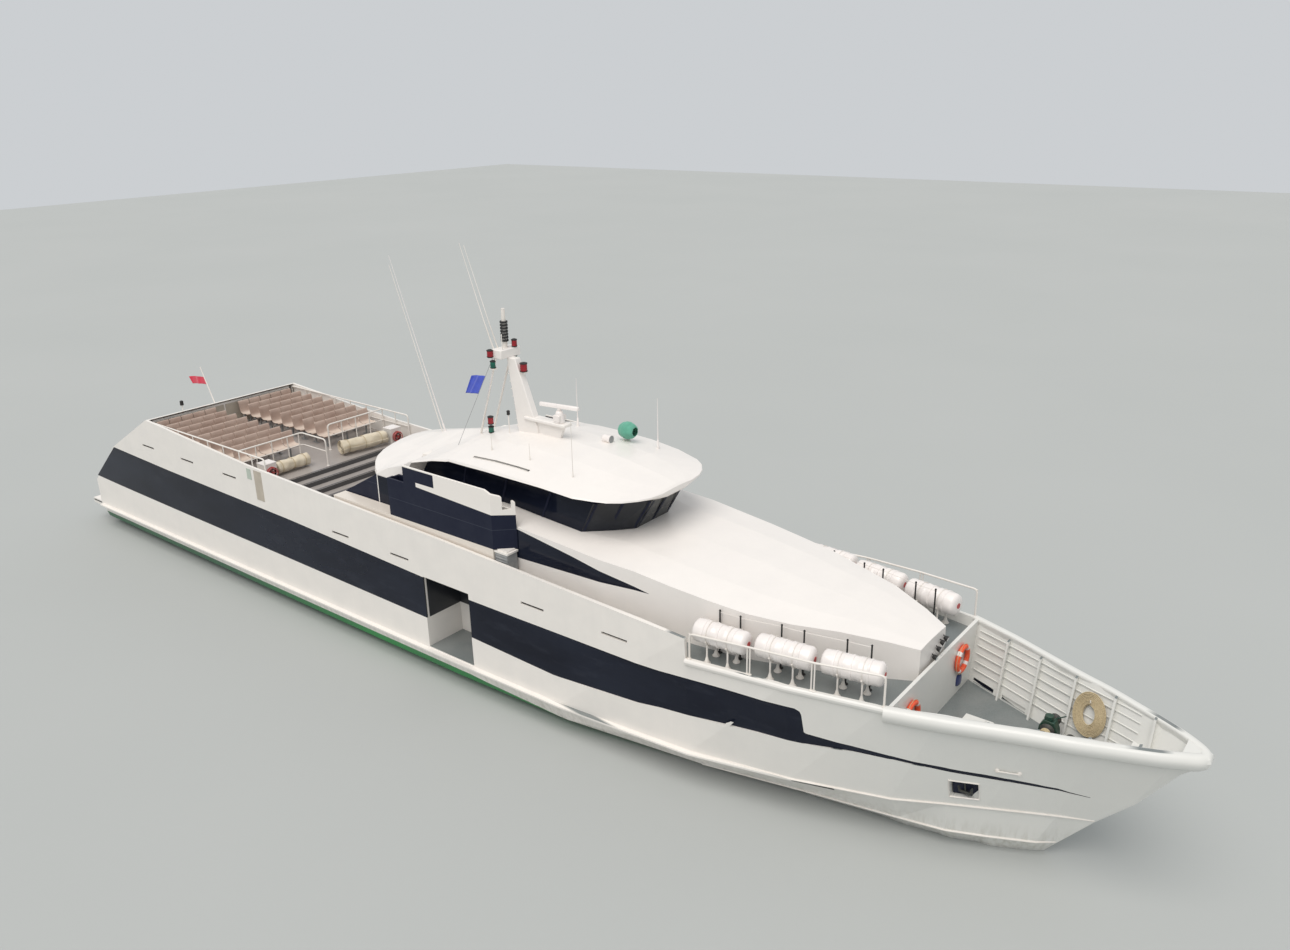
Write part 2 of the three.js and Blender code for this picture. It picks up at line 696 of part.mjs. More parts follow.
// Wheelhouse roof: x, underside, flat half width, rim half width, rim bottom, rim top,
// heights over 0.72 and 0.4 of the rim's half width, crown
const ROOF_BASE = WHEELHOUSE.head + GAP;
const ROOF = [
  [862, ROOF_BASE, 1600, 2150, 6397, 6450, 6580, 6700, 6760],
  [1700, ROOF_BASE, 1690, 2280, 6460, 6530, 6665, 6800, 6870],
  [2500, ROOF_BASE, 1700, 2330, 6495, 6555, 6700, 6850, 6930],
  [3300, ROOF_BASE, 1700, 2335, 6488, 6550, 6695, 6840, 6915],
  [4500, ROOF_BASE, 1700, 2310, 6465, 6510, 6640, 6780, 6850],
  [5500, ROOF_BASE, 1650, 2240, 6380, 6420, 6545, 6680, 6750],
  [6000, ROOF_BASE, 1450, 2065, 6355, 6395, 6500, 6600, 6660],
  [6350, ROOF_BASE, 1150, 1930, 6348, 6386, 6470, 6550, 6600],
  [6650, ROOF_BASE, 820, 1700, 6342, 6380, 6440, 6500, 6540],
  [6900, ROOF_BASE, 560, 1370, 6336, 6374, 6410, 6450, 6480],
  [7040, 6190, 380, 1050, 6330, 6368, 6385, 6410, 6430],
  [7100, 6250, 200, 650, 6325, 6362, 6368, 6376, 6382],
];
// It carries on aft, one step lower, as a rounded canopy over the way in
const CANOPY = [
  [-3400, 5592, 40, 200, 5588, 5640, 5650, 5660, 5665],
  [-3316, 5575, 400, 640, 5560, 5690, 5740, 5765, 5790],
  [-3152, 5560, 900, 1200, 5540, 5680, 5760, 5830, 5860],
  [-2900, 5560, 1300, 1640, 5520, 5650, 5760, 5870, 5930],
  [-2581, 5560, 1600, 1980, 5510, 5640, 5760, 5920, 6010],
  [-2200, 5500, 1650, 2290, 5515, 5600, 5780, 5960, 6100],
  [-1934, 5500, 1700, 2452, 5521, 5600, 5790, 5990, 6150],
  [-1400, 5500, 1700, 2452, 5521, 5800, 5930, 6110, 6300],
  [-800, 5500, 1700, 2452, 5521, 5990, 6035, 6205, 6430],
  [-430, ROOF_BASE, 1650, 2350, 6140, 6180, 6195, 6300, 6520],
  [350, ROOF_BASE, 1700, 2250, 6323, 6370, 6420, 6520, 6660],
  [900, ROOF_BASE, 1700, 2140, 6380, 6430, 6480, 6600, 6700],
];
const roofRings = (table) =>
  table.map(([x, under, flat, rim, rimLow, rimHigh, shoulder, quarter, crown]) =>
    mirroredRing(x, [
      [0, under],
      [flat, under],
      [rim, rimLow],
      [rim * 0.985, rimHigh],
      [rim * 0.72, shoulder],
      [rim * 0.4, quarter],
      [0, crown],
    ]),
  );
const aroundWheelhouse = loft(
  [wheelhouseRing(WHEELHOUSE.bottom, 25 + GAP), wheelhouseRing(ROOF_BASE - 0.03, 25 + GAP)],
  "xy",
);
const roof = join([loft(roofRings(ROOF)), loft(roofRings(CANOPY))])
  .subtract(houseOutside.translate([-GAP, 0, GAP]))
  .subtract(aroundWheelhouse);
add("wheelhouse_roof", roof, WHITE, 0.35);
const aboveRoof = (body) => body.subtract(roof.translate([0, 0, GAP]));

[
  { name: "aerial_bridge", foot: [2420, 1500, 6400], tip: [2420, 1500, 8150] },
  { name: "aerial_forward", foot: [5250, 1600, 6300], tip: [5250, 1600, 8000] },
].forEach(({ name, foot, tip }) => add(name, aboveRoof(bar(foot, tip, 22)), 0xe8e8e4));

// Bridge wings: a dark box with an open top, and a white parapet on it
const WING_PLAN = [
  [-870, -2468],
  [-870, -2900],
  [3270, -2900],
  [3730, -2468],
];
const WING = { bottom: 4660, floor: 5200, shelf: 5750, top: 6275, upperAft: -150, wall: 60 };
// Side view of what is cut off the parapet: its top slopes down at the front
const wingCut = sidePlate(
  [[3050, 6276], [3476, 6111], [3740, 5940], [3740, 7000], [3050, 7000]],
  -4000, 4000,
);
const wingPlan = (inset) => [
  [WING_PLAN[0][0] + inset, WING_PLAN[0][1]],
  [WING_PLAN[1][0] + inset, WING_PLAN[1][1] + inset],
  [WING_PLAN[2][0] - inset * 0.4, WING_PLAN[2][1] + inset],
  [WING_PLAN[3][0] - inset, WING_PLAN[3][1]],
];
SIDES.forEach(({ name, sign }) => {
  const shell = deckPlate(wingPlan(0), WING.bottom, WING.shelf);
  const well = deckPlate(wingPlan(WING.wall), WING.floor, WING.shelf + 100).subtract(
    box(-1000, 4000, -2520, -2300, 4000, 7000),
  );
  const hollow = deckPlate(wingPlan(WING.wall), WING.shelf - 100, WING.top + 100);
  const parapet = deckPlate(wingPlan(0), WING.shelf - 20, WING.top)
    .subtract(join([hollow, box(-1000, 3650, -2700, -2300, WING.shelf - 100, WING.top + 100)]))
    .subtract(box(-1000, WING.upperAft, -3000, -2300, WING.shelf + 20, WING.top + 100))
    .subtract(wingCut);
  const apron = box(-870, 3700, -2500, -2390, WING.bottom, WING.floor)
    .subtract(houseOutside.translate([0, -GAP, 0]))
    .subtract(housePanel(grown(HOUSE_BAND), GAP, 200, GAP));
  add(`bridge_wing_${name}`, mirror(shell.subtract(well).add(parapet).add(apron), sign), 0x20263a, 0.3);
});

// Mast on the wheelhouse roof, with its lamp platform, radar shelf and struts
const MAST = { platform: 9100, top: 10278 };
const RADAR = { x: 3120, z: 7350, yaw: 8 };
const mastLeg = sidePlate(
  [[1660, 6500], [2380, 6500], [2360, 7100], [2240, 7340], [1640, MAST.platform - 160],
    [1320, MAST.platform - 160], [1500, 7760]],
  -110,
  110,
);
const HALYARD = { head: [1060, -370, 8950], foot: [100, -1180, 6200], radius: 8 };
const mast = join([
  mastLeg,
  box(1000, 1400, -380, 380, MAST.platform - 170, MAST.platform + 80),
  bar([1190, 0, MAST.platform], [1190, 0, MAST.top], 70, 10),
  box(1900, 3420, -170, 170, RADAR.z - 90, RADAR.z),
  sidePlate([[2200, 6500], [3000, 6500], [3300, RADAR.z - 80], [2200, RADAR.z - 80]], -60, 60),
  bar([1100, -300, MAST.platform - 160], [240, -320, 6400], 32),
  bar([1100, 300, MAST.platform - 160], [-220, 620, 6200], 32),
  bar(HALYARD.head, HALYARD.foot, HALYARD.radius, 6),
  bar([1060, -300, MAST.platform + 20], [-40, -300, 12000], 22),
]);
add("mast", aboveRoof(mast), WHITE, 0.45);
add(
  "radar_pedestal",
  turned([[0, 0], [150, 0], [130, 200], [90, 330], [0, 330]], 12).translate(RADAR.x, 0, RADAR.z + GAP),
  WHITE,
);
const hubProfile = [[0, 0.6], [25, 0.6], [25, 10], [60, 10], [60, 80], [0, 80]];
const scannerHub = solid(turned(hubProfile, 12).translate(0, 0, RADAR.z + 330 + GAP));
const scannerBar = box(-635, 635, -60, 60, RADAR.z + 400, RADAR.z + 520);
const scanner = scannerHub.add(scannerBar).rotate([0, 0, RADAR.yaw]);
add("radar_scanner", scanner.translate([RADAR.x, 0, 0]), WHITE);

add("aerial_aft", aboveRoof(bar([-1680, 100, 6000], [-3480, 0, 11350], 22)), 0xe8e8e4);
const horn = join([
  bar([4050, 700, 6900], [4350, 700, 6900], 120, 12),
  bar([4150, 700, 6500], [4150, 700, 6900], 40),
]);
add("horn", aboveRoof(horn), WHITE);
const searchlight = join([
  bar([4400, 1300, 6400], [4400, 1300, 6900], 50),
  bar([4180, 1300, 7020], [4700, 1300, 7020], 260, 12),
]);
add("searchlight", aboveRoof(searchlight), 0x3f9a80);

// Flags: the pole at the stern leans aft, the house flag flies from the halyard
const POLE = { foot: [-14655, 0, 4815], tip: [-15350, 0, 6250], radius: 25 };
const onLine = (a, b, z) => a.map((value, k) => value + ((z - a[2]) / (b[2] - a[2])) * (b[k] - value));
function flag(foot, tip, low, high, length, droop) {
  const ring = (bottom, top) => [
    [bottom[0], bottom[1] - 4, bottom[2]],
    [bottom[0], bottom[1] + 4, bottom[2]],
    [top[0], top[1] + 4, top[2]],
    [top[0], top[1] - 4, top[2]],
  ];
  const fly = ([x, y, z]) => [x - length, y, z - droop];
  const hoist = [onLine(foot, tip, low), onLine(foot, tip, high)];
  return loft([ring(...hoist.map(fly)), ring(...hoist)]);
}
const flagpole = bar(POLE.foot, POLE.tip, POLE.radius);
add("stern_flagpole", flagpole.subtract(wholeHull.translate([-GAP, 0, GAP])), WHITE);
const aroundPole = bar(POLE.foot, POLE.tip, POLE.radius + GAP);
add("stern_flag", flag(POLE.foot, POLE.tip, 5590, 5900, 1100, 150).subtract(aroundPole), 0xd0202e, 0.9);
const aroundHalyard = bar(HALYARD.head, HALYARD.foot, HALYARD.radius + GAP, 6);
const houseFlag = flag(HALYARD.head, HALYARD.foot, 7900, 8450, 560, 60);
add("house_flag", houseFlag.subtract(aroundHalyard), 0x2350b8, 0.9);

// Benches on the seat deck: rows along the boat on one plinth a side
const BENCH = { rows: 8, pitch: 680, first: -13900, inner: 450, outer: 2750, seat: 430, back: 850 };
SIDES.forEach(({ name, sign }) => {
  const base = SEAT_DECK + GAP;
  const length = BENCH.rows * BENCH.pitch - 150;
  const pieces = [box(BENCH.first, BENCH.first + length, -BENCH.outer, -BENCH.inner, base, base + 60)];
  for (let row = 0; row < BENCH.rows; row += 1) {
    const x = BENCH.first + row * BENCH.pitch;
    pieces.push(
      sidePlate(
        [[x + 60, base + 50], [x + 460, base + 50], [x + 480, base + BENCH.seat],
          [x + 130, base + BENCH.seat], [x + 40, base + BENCH.back], [x, base + BENCH.back],
          [x + 60, base + 380]],
        -BENCH.outer + row, -BENCH.inner - row,
      ),
    );
  }
  add(`benches_${name}`, mirror(join(pieces), sign), 0x9c8b7c, 0.8);
});

// Rails round the seat deck
const SEAT_RAIL = {
  top: 5062, middle: 4650, y: 2900, aft: -14000, front: -8430, stair: 530, stairFront: -7100,
  sideFront: -7000,
};
// Rolled canvas and a locker each side at the front of the seat deck: the roll's ends, x and y
const ROLLS = {
  starboard: { inner: [-7700, 900], outer: [-7700, 2120], radius: 260 },
  port: { inner: [-7600, 380], outer: [-7350, 2080], radius: 300 },
};
const LOCKER = { length: 420, inner: 2200, outer: 2640, height: 520 };
SIDES.forEach(({ name, sign }) => {
  const y = -SEAT_RAIL.y;
  const base = SEAT_DECK + GAP;
  const pieces = [
    bar([SEAT_RAIL.aft, y, SEAT_RAIL.top], [SEAT_RAIL.sideFront, y, SEAT_RAIL.top], 26),
    bar([SEAT_RAIL.aft, y, SEAT_RAIL.middle], [SEAT_RAIL.sideFront, y, SEAT_RAIL.middle], 18),
    bar([SEAT_RAIL.front, y, SEAT_RAIL.top], [SEAT_RAIL.front, -SEAT_RAIL.stair, SEAT_RAIL.top], 26),
    bar([SEAT_RAIL.front, y, SEAT_RAIL.middle], [SEAT_RAIL.front, -SEAT_RAIL.stair, SEAT_RAIL.middle], 18),
  ];
  if (name === "starboard") {
    const corner = [SEAT_RAIL.stairFront, -SEAT_RAIL.stair, SEAT_RAIL.top];
    pieces.push(bar([SEAT_RAIL.front, -SEAT_RAIL.stair, SEAT_RAIL.top], corner, 26));
    pieces.push(bar([SEAT_RAIL.stairFront, -SEAT_RAIL.stair, base], corner, 22));
  }
  for (let x = SEAT_RAIL.aft; x < SEAT_RAIL.front + 10; x += 928.3) {
    pieces.push(bar([x, y, base], [x, y, SEAT_RAIL.top], 22));
  }
  [SEAT_RAIL.front + 715, SEAT_RAIL.sideFront].forEach((x) => {
    pieces.push(bar([x, y, base], [x, y, SEAT_RAIL.top], 22));
  });
  [-SEAT_RAIL.stair, -1700].forEach((postY) => {
    pieces.push(bar([SEAT_RAIL.front, postY, base], [SEAT_RAIL.front, postY, SEAT_RAIL.top], 22));
  });
  add(`seat_deck_rail_${name}`, mirror(join(pieces), sign), WHITE, 0.4);
  const { inner, outer, radius } = ROLLS[name];
  const rollZ = SEAT_DECK + GAP + radius;
  const roll = bar([inner[0], -inner[1], rollZ], [outer[0], -outer[1], rollZ], radius, 14);
  const bed = box(
    outer[0] - 190, outer[0] + 150,
    -outer[1] + 30, -inner[1] - 30, SEAT_DECK + GAP, SEAT_DECK + 90,
  );
  add(`canvas_roll_${name}`, mirror(roll.add(bed), sign), 0xcdbfa4, 0.9);
  const lockerX = outer[0] - LOCKER.length / 2;
  add(
    `deck_locker_${name}`,
    mirror(
      box(
        lockerX, lockerX + LOCKER.length,
        -LOCKER.outer, -LOCKER.inner, SEAT_DECK + GAP, SEAT_DECK + LOCKER.height,
      ),
      sign,
    ),
    WHITE,
    0.4,
  );
});

// Life rafts on racks along the side decks: x, half width, yaw in degrees
const RAFT = { length: 1400, radius: 290, z: 4225 };
const RAFTS = [
  [10190, 2560, -3],
  [11700, 2310, -6],
  [13200, 2040, -9],
];
SIDES.forEach(({ name, sign }) => {
  const rack = [];
  RAFTS.forEach(([x, half, yaw]) => {
    const turn = THREE.MathUtils.degToRad(-yaw);
    const canister = new THREE.CylinderGeometry(RAFT.radius, RAFT.radius, RAFT.length, 12);
    rack.push(solid(canister.rotateZ(Math.PI / 2).rotateZ(turn).translate(x, -half, RAFT.z)));
    [-270, 270].forEach((along) => {
      const cx = x + along * Math.cos(turn);
      const cy = -half + along * Math.sin(turn);
      const bottom = RAFT.z - RAFT.radius;
      rack.push(box(cx - 30, cx + 30, cy - 300, cy + 300, bottom - 60, bottom + 40));
      [-200, 200].forEach((side) => {
        rack.push(bar([cx, cy + side, UPPER_DECK + GAP], [cx, cy + side, bottom - 20], 25));
      });
    });
  });
  for (let i = 0; i + 1 < RAFTS.length; i += 1) {
    const [x0, y0] = RAFTS[i];
    const [x1, y1] = RAFTS[i + 1];
    const z = RAFT.z - RAFT.radius - 35;
    rack.push(bar([x0 - 300, -y0 + 20, z], [x0 + 300, -y0 + 40, z], 20));
    rack.push(bar([x0 + 260, -y0 + 40, z], [x1 - 260, -y1 - 40, z], 20));
    rack.push(bar([x1 - 300, -y1 - 50, z], [x1 + 300, -y1 + 50, z], 20));
  }
  add(`life_rafts_${name}`, mirror(join(rack), sign), WHITE, 0.4);
});

// Rails along the side decks, standing on the coaming: x, foot, top
const SIDE_RAIL = [
  [9560, 3604, 4250],
  [11086, 3689, 4373],
  [12602, 3756, 4443],
  [14120, 3798, 4523],
];
SIDES.forEach(({ name, sign }) => {
  const pieces = [];
  const half = (x, z) => halfWidth(x, z) - WALL / 2;
  SIDE_RAIL.forEach(([x, foot, z], i) => {
    const y = half(x, foot);
    pieces.push(bar([x, -y, foot + 15], [x, -y, z], 22));
    if (i > 0) {
      const [x0, foot0, z0] = SIDE_RAIL[i - 1];
      pieces.push(bar([x0, -half(x0, foot0), z0], [x, -y, z], 26));
    }
  });
  const rail = join(pieces).subtract(wholeHull.translate([0, 0, GAP])).subtract(wholeHull);
  add(`side_rail_${name}`, mirror(rail, sign), WHITE, 0.4);
});

// Foredeck gear
const WINDLASS = { x: 16650, y: 450, top: 820 };
const windlass = join([
  box(WINDLASS.x - 300, WINDLASS.x + 300, WINDLASS.y - 260, WINDLASS.y + 260, deck, deck + 120),
  box(
    WINDLASS.x - 220, WINDLASS.x + 220,
    WINDLASS.y - 150, WINDLASS.y + 150, deck + 100, deck + WINDLASS.top,
  ),
  bar([WINDLASS.x, WINDLASS.y - 420, deck + 430], [WINDLASS.x, WINDLASS.y + 420, deck + 430], 150, 12),
]);
add("windlass", windlass, 0x26463a, 0.6);
SIDES.forEach(({ name, sign }) => {
  const x = 17280;
  const y = sign * 430;
  const bollard = join([
    box(x - 300, x + 300, y - 110, y + 110, deck, deck + 30),
    bar([x - 170, y, deck], [x - 170, y, deck + 380], 75, 12),
    bar([x + 170, y, deck], [x + 170, y, deck + 380], 75, 12),
  ]);
  add(`bollards_${name}`, bollard, 0x2a3330, 0.6);
  const ring = new THREE.TorusGeometry(300, 60, 8, 20).rotateY(Math.PI / 2);
  const ringAt = sign < 0 ? [-1420, 3140] : [1310, 3250];
  ring.translate(BULKHEAD_X + 80 + 60 + GAP, ...ringAt);
  add(`life_ring_${name}`, solid(ring), 0xe8532c, 0.6);
});
const coil = new THREE.TorusGeometry(450, 115, 8, 20).rotateX(Math.PI / 2);
coil.scale(0.72, 0.75, 1).rotateZ(-0.36).translate(17330, 960, 3090);
const coilRope = solid(coil).subtract(wholeHull.translate([0, -GAP, GAP]));
add("rope_coil", coilRope.decompose().sort((a, b) => b.volume() - a.volume())[0], 0xc9b58c, 0.95);
const lidZ = deck + HATCH.height + 5;
const lidPin = { x: HATCH.aft - 15.4, z: lidZ - 6, radius: 15, half: 60 };
const hatchPins = [-180, 180].map((y) =>
  bar([lidPin.x, y - lidPin.half, lidPin.z], [lidPin.x, y + lidPin.half, lidPin.z], lidPin.radius, 24),
);
const lid = box(HATCH.aft - 20, HATCH.forward + 20, -HATCH.half - 20, HATCH.half + 20, lidZ, lidZ + 40);
add("foredeck_hatch", join([lid, ...hatchPins]), WHITE);

// Hinged doors: a leaf with a strap and a pin beside the opening
const LEAF = { thick: 50, gap: 8, pin: 15, out: 16 };
function crossDoor(x, y0, y1, z0, z1) {
  const pinY = y0 - 5;
  const pinX = x - LEAF.out;
  return join([
    box(x + 5, x + 5 + LEAF.thick, y0 + LEAF.gap, y1 - LEAF.gap, z0 + LEAF.gap, z1 - LEAF.gap),
    box(pinX - 5, x - 0.5, pinY, y0 + 90, z0 + 150, z0 + 300),
    box(pinX - 5, x - 0.5, pinY, y0 + 90, z1 - 300, z1 - 150),
    box(x - 1, x + 10, y0 + LEAF.gap, y0 + 90, z0 + 150, z0 + 300),
    box(x - 1, x + 10, y0 + LEAF.gap, y0 + 90, z1 - 300, z1 - 150),
    bar([pinX + 0.4, pinY, z0 + 140], [pinX + 0.4, pinY, z0 + 310], LEAF.pin, 12),
    bar([pinX + 0.4, pinY, z1 - 310], [pinX + 0.4, pinY, z1 - 140], LEAF.pin, 12),
  ]);
}
const { half: leafHalf, sill: leafSill, head: leafHead } = STERN_DOOR;
add("stern_door", crossDoor(ALCOVE.forward, -leafHalf, leafHalf, leafSill, leafHead), WHITE);
const { y0: doorY0, y1: doorY1, z0: doorZ0, z1: doorZ1 } = houseDoorway;
add("house_door", crossDoor(HOUSE_AFT, doorY0, doorY1, doorZ0, doorZ1), WHITE);
SIDES.forEach(({ name, sign }) => {
  const y = -3050 + RECESS.depth;
  const door = crossDoor(0, -450, 450, BOARDING.sill, BOARDING.head).rotate([0, 0, 90]);
  add(`boarding_door_${name}`, mirror(door.translate([BOARDING.x, y, 0]), sign), WHITE);
});

// Propellers, shafts and rudders
const [shaftX0, shaftZ0] = SHAFT.forward;
const [shaftX1, shaftZ1] = SHAFT.aft;
const rake = Math.atan2(shaftZ0 - shaftZ1, shaftX0 - shaftX1);
const onShaft = (along) => [shaftX1 + along * Math.cos(rake), shaftZ1 + along * Math.sin(rake)];
const PROPELLER = { centre: 200, hub: 95, half: 130, blades: 5, radius: 490 };
SIDES.forEach(({ name, sign }) => {
  const y = sign * SHAFT.y;
  const at = (along) => {
    const [x, z] = onShaft(along);
    return [x, y, z];
  };
  const [strutX, strutZ] = onShaft(460);
  const gear = join([
    bar([shaftX0, y, shaftZ0], at(345), 60, 10),
    bar(at(PROPELLER.centre + PROPELLER.half + 0.6), at(600), 110, 12),
    box(strutX - 70, strutX + 70, y - 25, y + 25, strutZ, -200),
  ]).subtract(hullOutside.translate([0, 0, -GAP]));
  add(`shaft_${name}`, gear, STEEL, 0.4, 0.6);
  const pieces = [bar([-PROPELLER.half, 0, 0], [PROPELLER.half, 0, 0], PROPELLER.hub, 12)];
  for (let i = 0; i < PROPELLER.blades; i += 1) {
    const blade = new THREE.CylinderGeometry(210, 210, 30, 10)
      .scale(0.7, 1, 1)
      .rotateZ(Math.PI / 2)
      .rotateZ(0.55 * sign)
      .translate(0, 0, PROPELLER.radius - 210)
      .rotateX((i * 2 * Math.PI) / PROPELLER.blades);
    pieces.push(solid(blade));
  }
  const propeller = join(pieces).rotate([0, -THREE.MathUtils.radToDeg(rake), 0]);
  add(`propeller_${name}`, propeller.translate(at(PROPELLER.centre)), 0xb08d57, 0.35, 0.9);
  const rudder = join([
    bar([RUDDER.x, y, -1000], [RUDDER.x, y, RUDDER.top - 0.6], RUDDER.stock, 10),
    box(
      RUDDER.x - RUDDER.chord / 2, RUDDER.x + RUDDER.chord / 2,
      y - 30, y + 30, RUDDER.foot, RUDDER.top - 60,
    ),
  ]);
  add(`rudder_${name}`, rudder, 0x2e7d43, 0.6);
});

export default root;
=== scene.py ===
# Looks of a fast passenger ferry. Metres, +X forward, +Y to port, +Z up, floor at the waterline.
import json
import math
import random
from types import SimpleNamespace as Sizes

import bmesh
import bpy
from mathutils import Matrix, Vector


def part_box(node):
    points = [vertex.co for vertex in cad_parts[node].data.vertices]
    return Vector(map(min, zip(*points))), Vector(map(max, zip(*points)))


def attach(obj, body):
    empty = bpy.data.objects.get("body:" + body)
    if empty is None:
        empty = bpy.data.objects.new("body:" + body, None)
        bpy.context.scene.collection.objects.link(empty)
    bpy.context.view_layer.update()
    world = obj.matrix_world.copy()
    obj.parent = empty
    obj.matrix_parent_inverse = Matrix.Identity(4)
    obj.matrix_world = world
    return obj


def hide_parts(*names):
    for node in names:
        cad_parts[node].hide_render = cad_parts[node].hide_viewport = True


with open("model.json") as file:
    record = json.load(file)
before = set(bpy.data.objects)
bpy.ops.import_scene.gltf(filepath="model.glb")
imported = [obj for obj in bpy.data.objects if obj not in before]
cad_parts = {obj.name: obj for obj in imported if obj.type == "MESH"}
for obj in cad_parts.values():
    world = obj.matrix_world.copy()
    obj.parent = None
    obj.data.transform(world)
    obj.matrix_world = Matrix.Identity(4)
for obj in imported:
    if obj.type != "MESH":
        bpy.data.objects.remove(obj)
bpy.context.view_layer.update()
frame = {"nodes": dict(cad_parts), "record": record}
SIDES = {"starboard": -1, "port": 1}
AHEAD, PORT, UP = Vector((1, 0, 0)), Vector((0, 1, 0)), Vector((0, 0, 1))

# Heights of the decks, and the thickness of the hull's plating
MAIN_DECK = 0.95
UPPER_DECK = 3.55
SEAT_DECK = 4.15
FOREDECK = 2.34
WALL = 0.09


# Camera: where the photograph was taken from
CAMERA = Sizes(
    place=(21.846, -19.947, 15.826),
    right=(0.787823, 0.615631, -0.018261),
    down=(0.199553, -0.283194, -0.938072),
    forward=(-0.582678, 0.735391, -0.345958),
    lens=29.223,
    sensor=36.0,
)


def make_camera():
    data = bpy.data.cameras.new("photo_camera")
    data.sensor_fit = "HORIZONTAL"
    data.sensor_width = CAMERA.sensor
    data.lens = CAMERA.lens
    data.clip_start = 0.5
    data.clip_end = 600
    camera = bpy.data.objects.new("photo_camera", data)
    bpy.context.collection.objects.link(camera)
    columns = [
        Vector(CAMERA.right),
        -Vector(CAMERA.down),
        -Vector(CAMERA.forward),
    ]
    turn = Matrix([[column[row] for column in columns] for row in range(3)]).to_4x4()
    camera.matrix_world = Matrix.Translation(CAMERA.place) @ turn
    bpy.context.scene.camera = camera


# Materials are built from nodes by a small helper
class Nodes:
    """One material: adds nodes, links what is given as a socket and sets what is given as a value."""

    def __init__(self, name):
        self.material = bpy.data.materials.new(name)
        self.material.use_nodes = True
        self.tree = self.material.node_tree
        self.shader = self.tree.nodes["Principled BSDF"]
        self.place = self.add("ShaderNodeTexCoord").outputs["Object"]

    def add(self, kind, inputs=None, **settings):
        node = self.tree.nodes.new(kind)
        for key, value in settings.items():
            setattr(node, key, value)
        for key, value in (inputs or {}).items():
            self.put(node.inputs[key], value)
        return node

    def put(self, socket, value):
        if isinstance(value, bpy.types.NodeSocket):
            self.tree.links.new(value, socket)
        elif isinstance(value, tuple) and len(value) == 3 and socket.type == "RGBA":
            socket.default_value = (*value, 1)
        else:
            socket.default_value = value

    def set(self, **values):
        for key, value in values.items():
            self.put(self.shader.inputs[key.replace("_", " ")], value)

    def math(self, operation, a, b=0.0):
        node = self.add("ShaderNodeMath", operation=operation)
        self.put(node.inputs[0], a)
        self.put(node.inputs[1], b)
        return node.outputs[0]

    def times(self, first, *others):
        for other in others:
            first = self.math("MULTIPLY", first, other)
        return first

    def most(self, a, b):
        return self.math("MAXIMUM", a, b)

    def size(self, value):
        return self.math("ABSOLUTE", value)

    def noise(self, scale, detail=4.0, stretch=(1, 1, 1), rough=0.55):
        place = self.add("ShaderNodeMapping", {"Vector": self.place, "Scale": stretch}).outputs[0]
        inputs = {"Vector": place, "Scale": scale, "Detail": detail, "Roughness": rough}
        return self.add("ShaderNodeTexNoise", inputs).outputs["Fac"]

    def range(self, value, low, high, to_low=0.0, to_high=1.0):
        inputs = {"Value": value, "From Min": low, "From Max": high, "To Min": to_low, "To Max": to_high}
        return self.add("ShaderNodeMapRange", inputs).outputs[0]

    def patches(self, low, high, *noise):
        """Blotches of noise, from 0 where it is low to 1 where it is high."""
        return self.range(self.noise(*noise), low, high)

    def over(self, value, level, soft=0.004):
        """1 where value is over the level, with a narrow soft edge."""
        return self.range(value, level - soft, level + soft)

    def under(self, value, level, soft=0.004):
        return self.range(value, level - soft, level + soft, 1.0, 0.0)

    def between(self, value, low, high, soft=0.004):
        return self.times(self.over(value, low, soft), self.under(value, high, soft))

    def mix(self, factor, a, b):
        node = self.add("ShaderNodeMix", data_type="RGBA")
        self.put(node.inputs["Factor"], factor)
        self.put(node.inputs[6], a)
        self.put(node.inputs[7], b)
        return node.outputs[2]

    def axes(self):
        return self.add("ShaderNodeSeparateXYZ", {"Vector": self.place}).outputs

    def facing(self):
        normal = self.add("ShaderNodeNewGeometry").outputs["Normal"]
        return self.add("ShaderNodeSeparateXYZ", {"Vector": normal}).outputs

    def tone(self):
        """The colour that the shader has so far."""
        return self.shader.inputs["Base Color"].links[0].from_socket

    def bump(self, height, distance, strength=1.0):
        inputs = {"Height": height, "Distance": distance, "Strength": strength}
        self.put(self.shader.inputs["Normal"], self.add("ShaderNodeBump", inputs).outputs[0])


def paint(name, colour, shade, roughness=0.35, coat=0.15, wear=0.3, ripple=0.002):
    """Sprayed marine paint: soft mottling, faint vertical run marks and slightly uneven plating."""
    nodes = Nodes(name)
    mottle = nodes.patches(0.35, 0.7, 1.3, 5)
    runs = nodes.patches(0.5, 0.75, 6.0, 3, (1, 1, 0.06))
    tone = nodes.mix(nodes.times(mottle, wear), colour, shade)
    tone = nodes.mix(nodes.times(runs, wear * 0.35), tone, shade)
    grain = nodes.noise(140.0, 2)
    spread = nodes.range(nodes.noise(3.0, 3), 0.3, 0.7, roughness - 0.06, roughness + 0.1)
    nodes.set(Base_Color=tone, Roughness=spread, Coat_Weight=coat, Coat_Roughness=0.12)
    plating = nodes.noise(1.1, 1, (1, 1, 1.6))
    height = nodes.math("ADD", plating, nodes.times(grain, 0.02))
    nodes.bump(height, ripple * 10, 0.5)
    return nodes


WHITE = (0.86, 0.82, 0.77)
DECK_LEVELS = (MAIN_DECK, FOREDECK, UPPER_DECK, 3.7, 3.85, 4.0, SEAT_DECK)
STEPS = Sizes(x=(-6.93, -5.6), z=(3.54, 4.16), edges=(-6.9, -6.5, -6.1, -5.7), strip=(0.10, 0.02))
TRUNK = Sizes(x=(-3.51, 3.26), z=(3.53, 4.67))
RECESS = Sizes(x=(0.44, 2.33), z=(1.85, 3.2))
INSIDE = 2.95


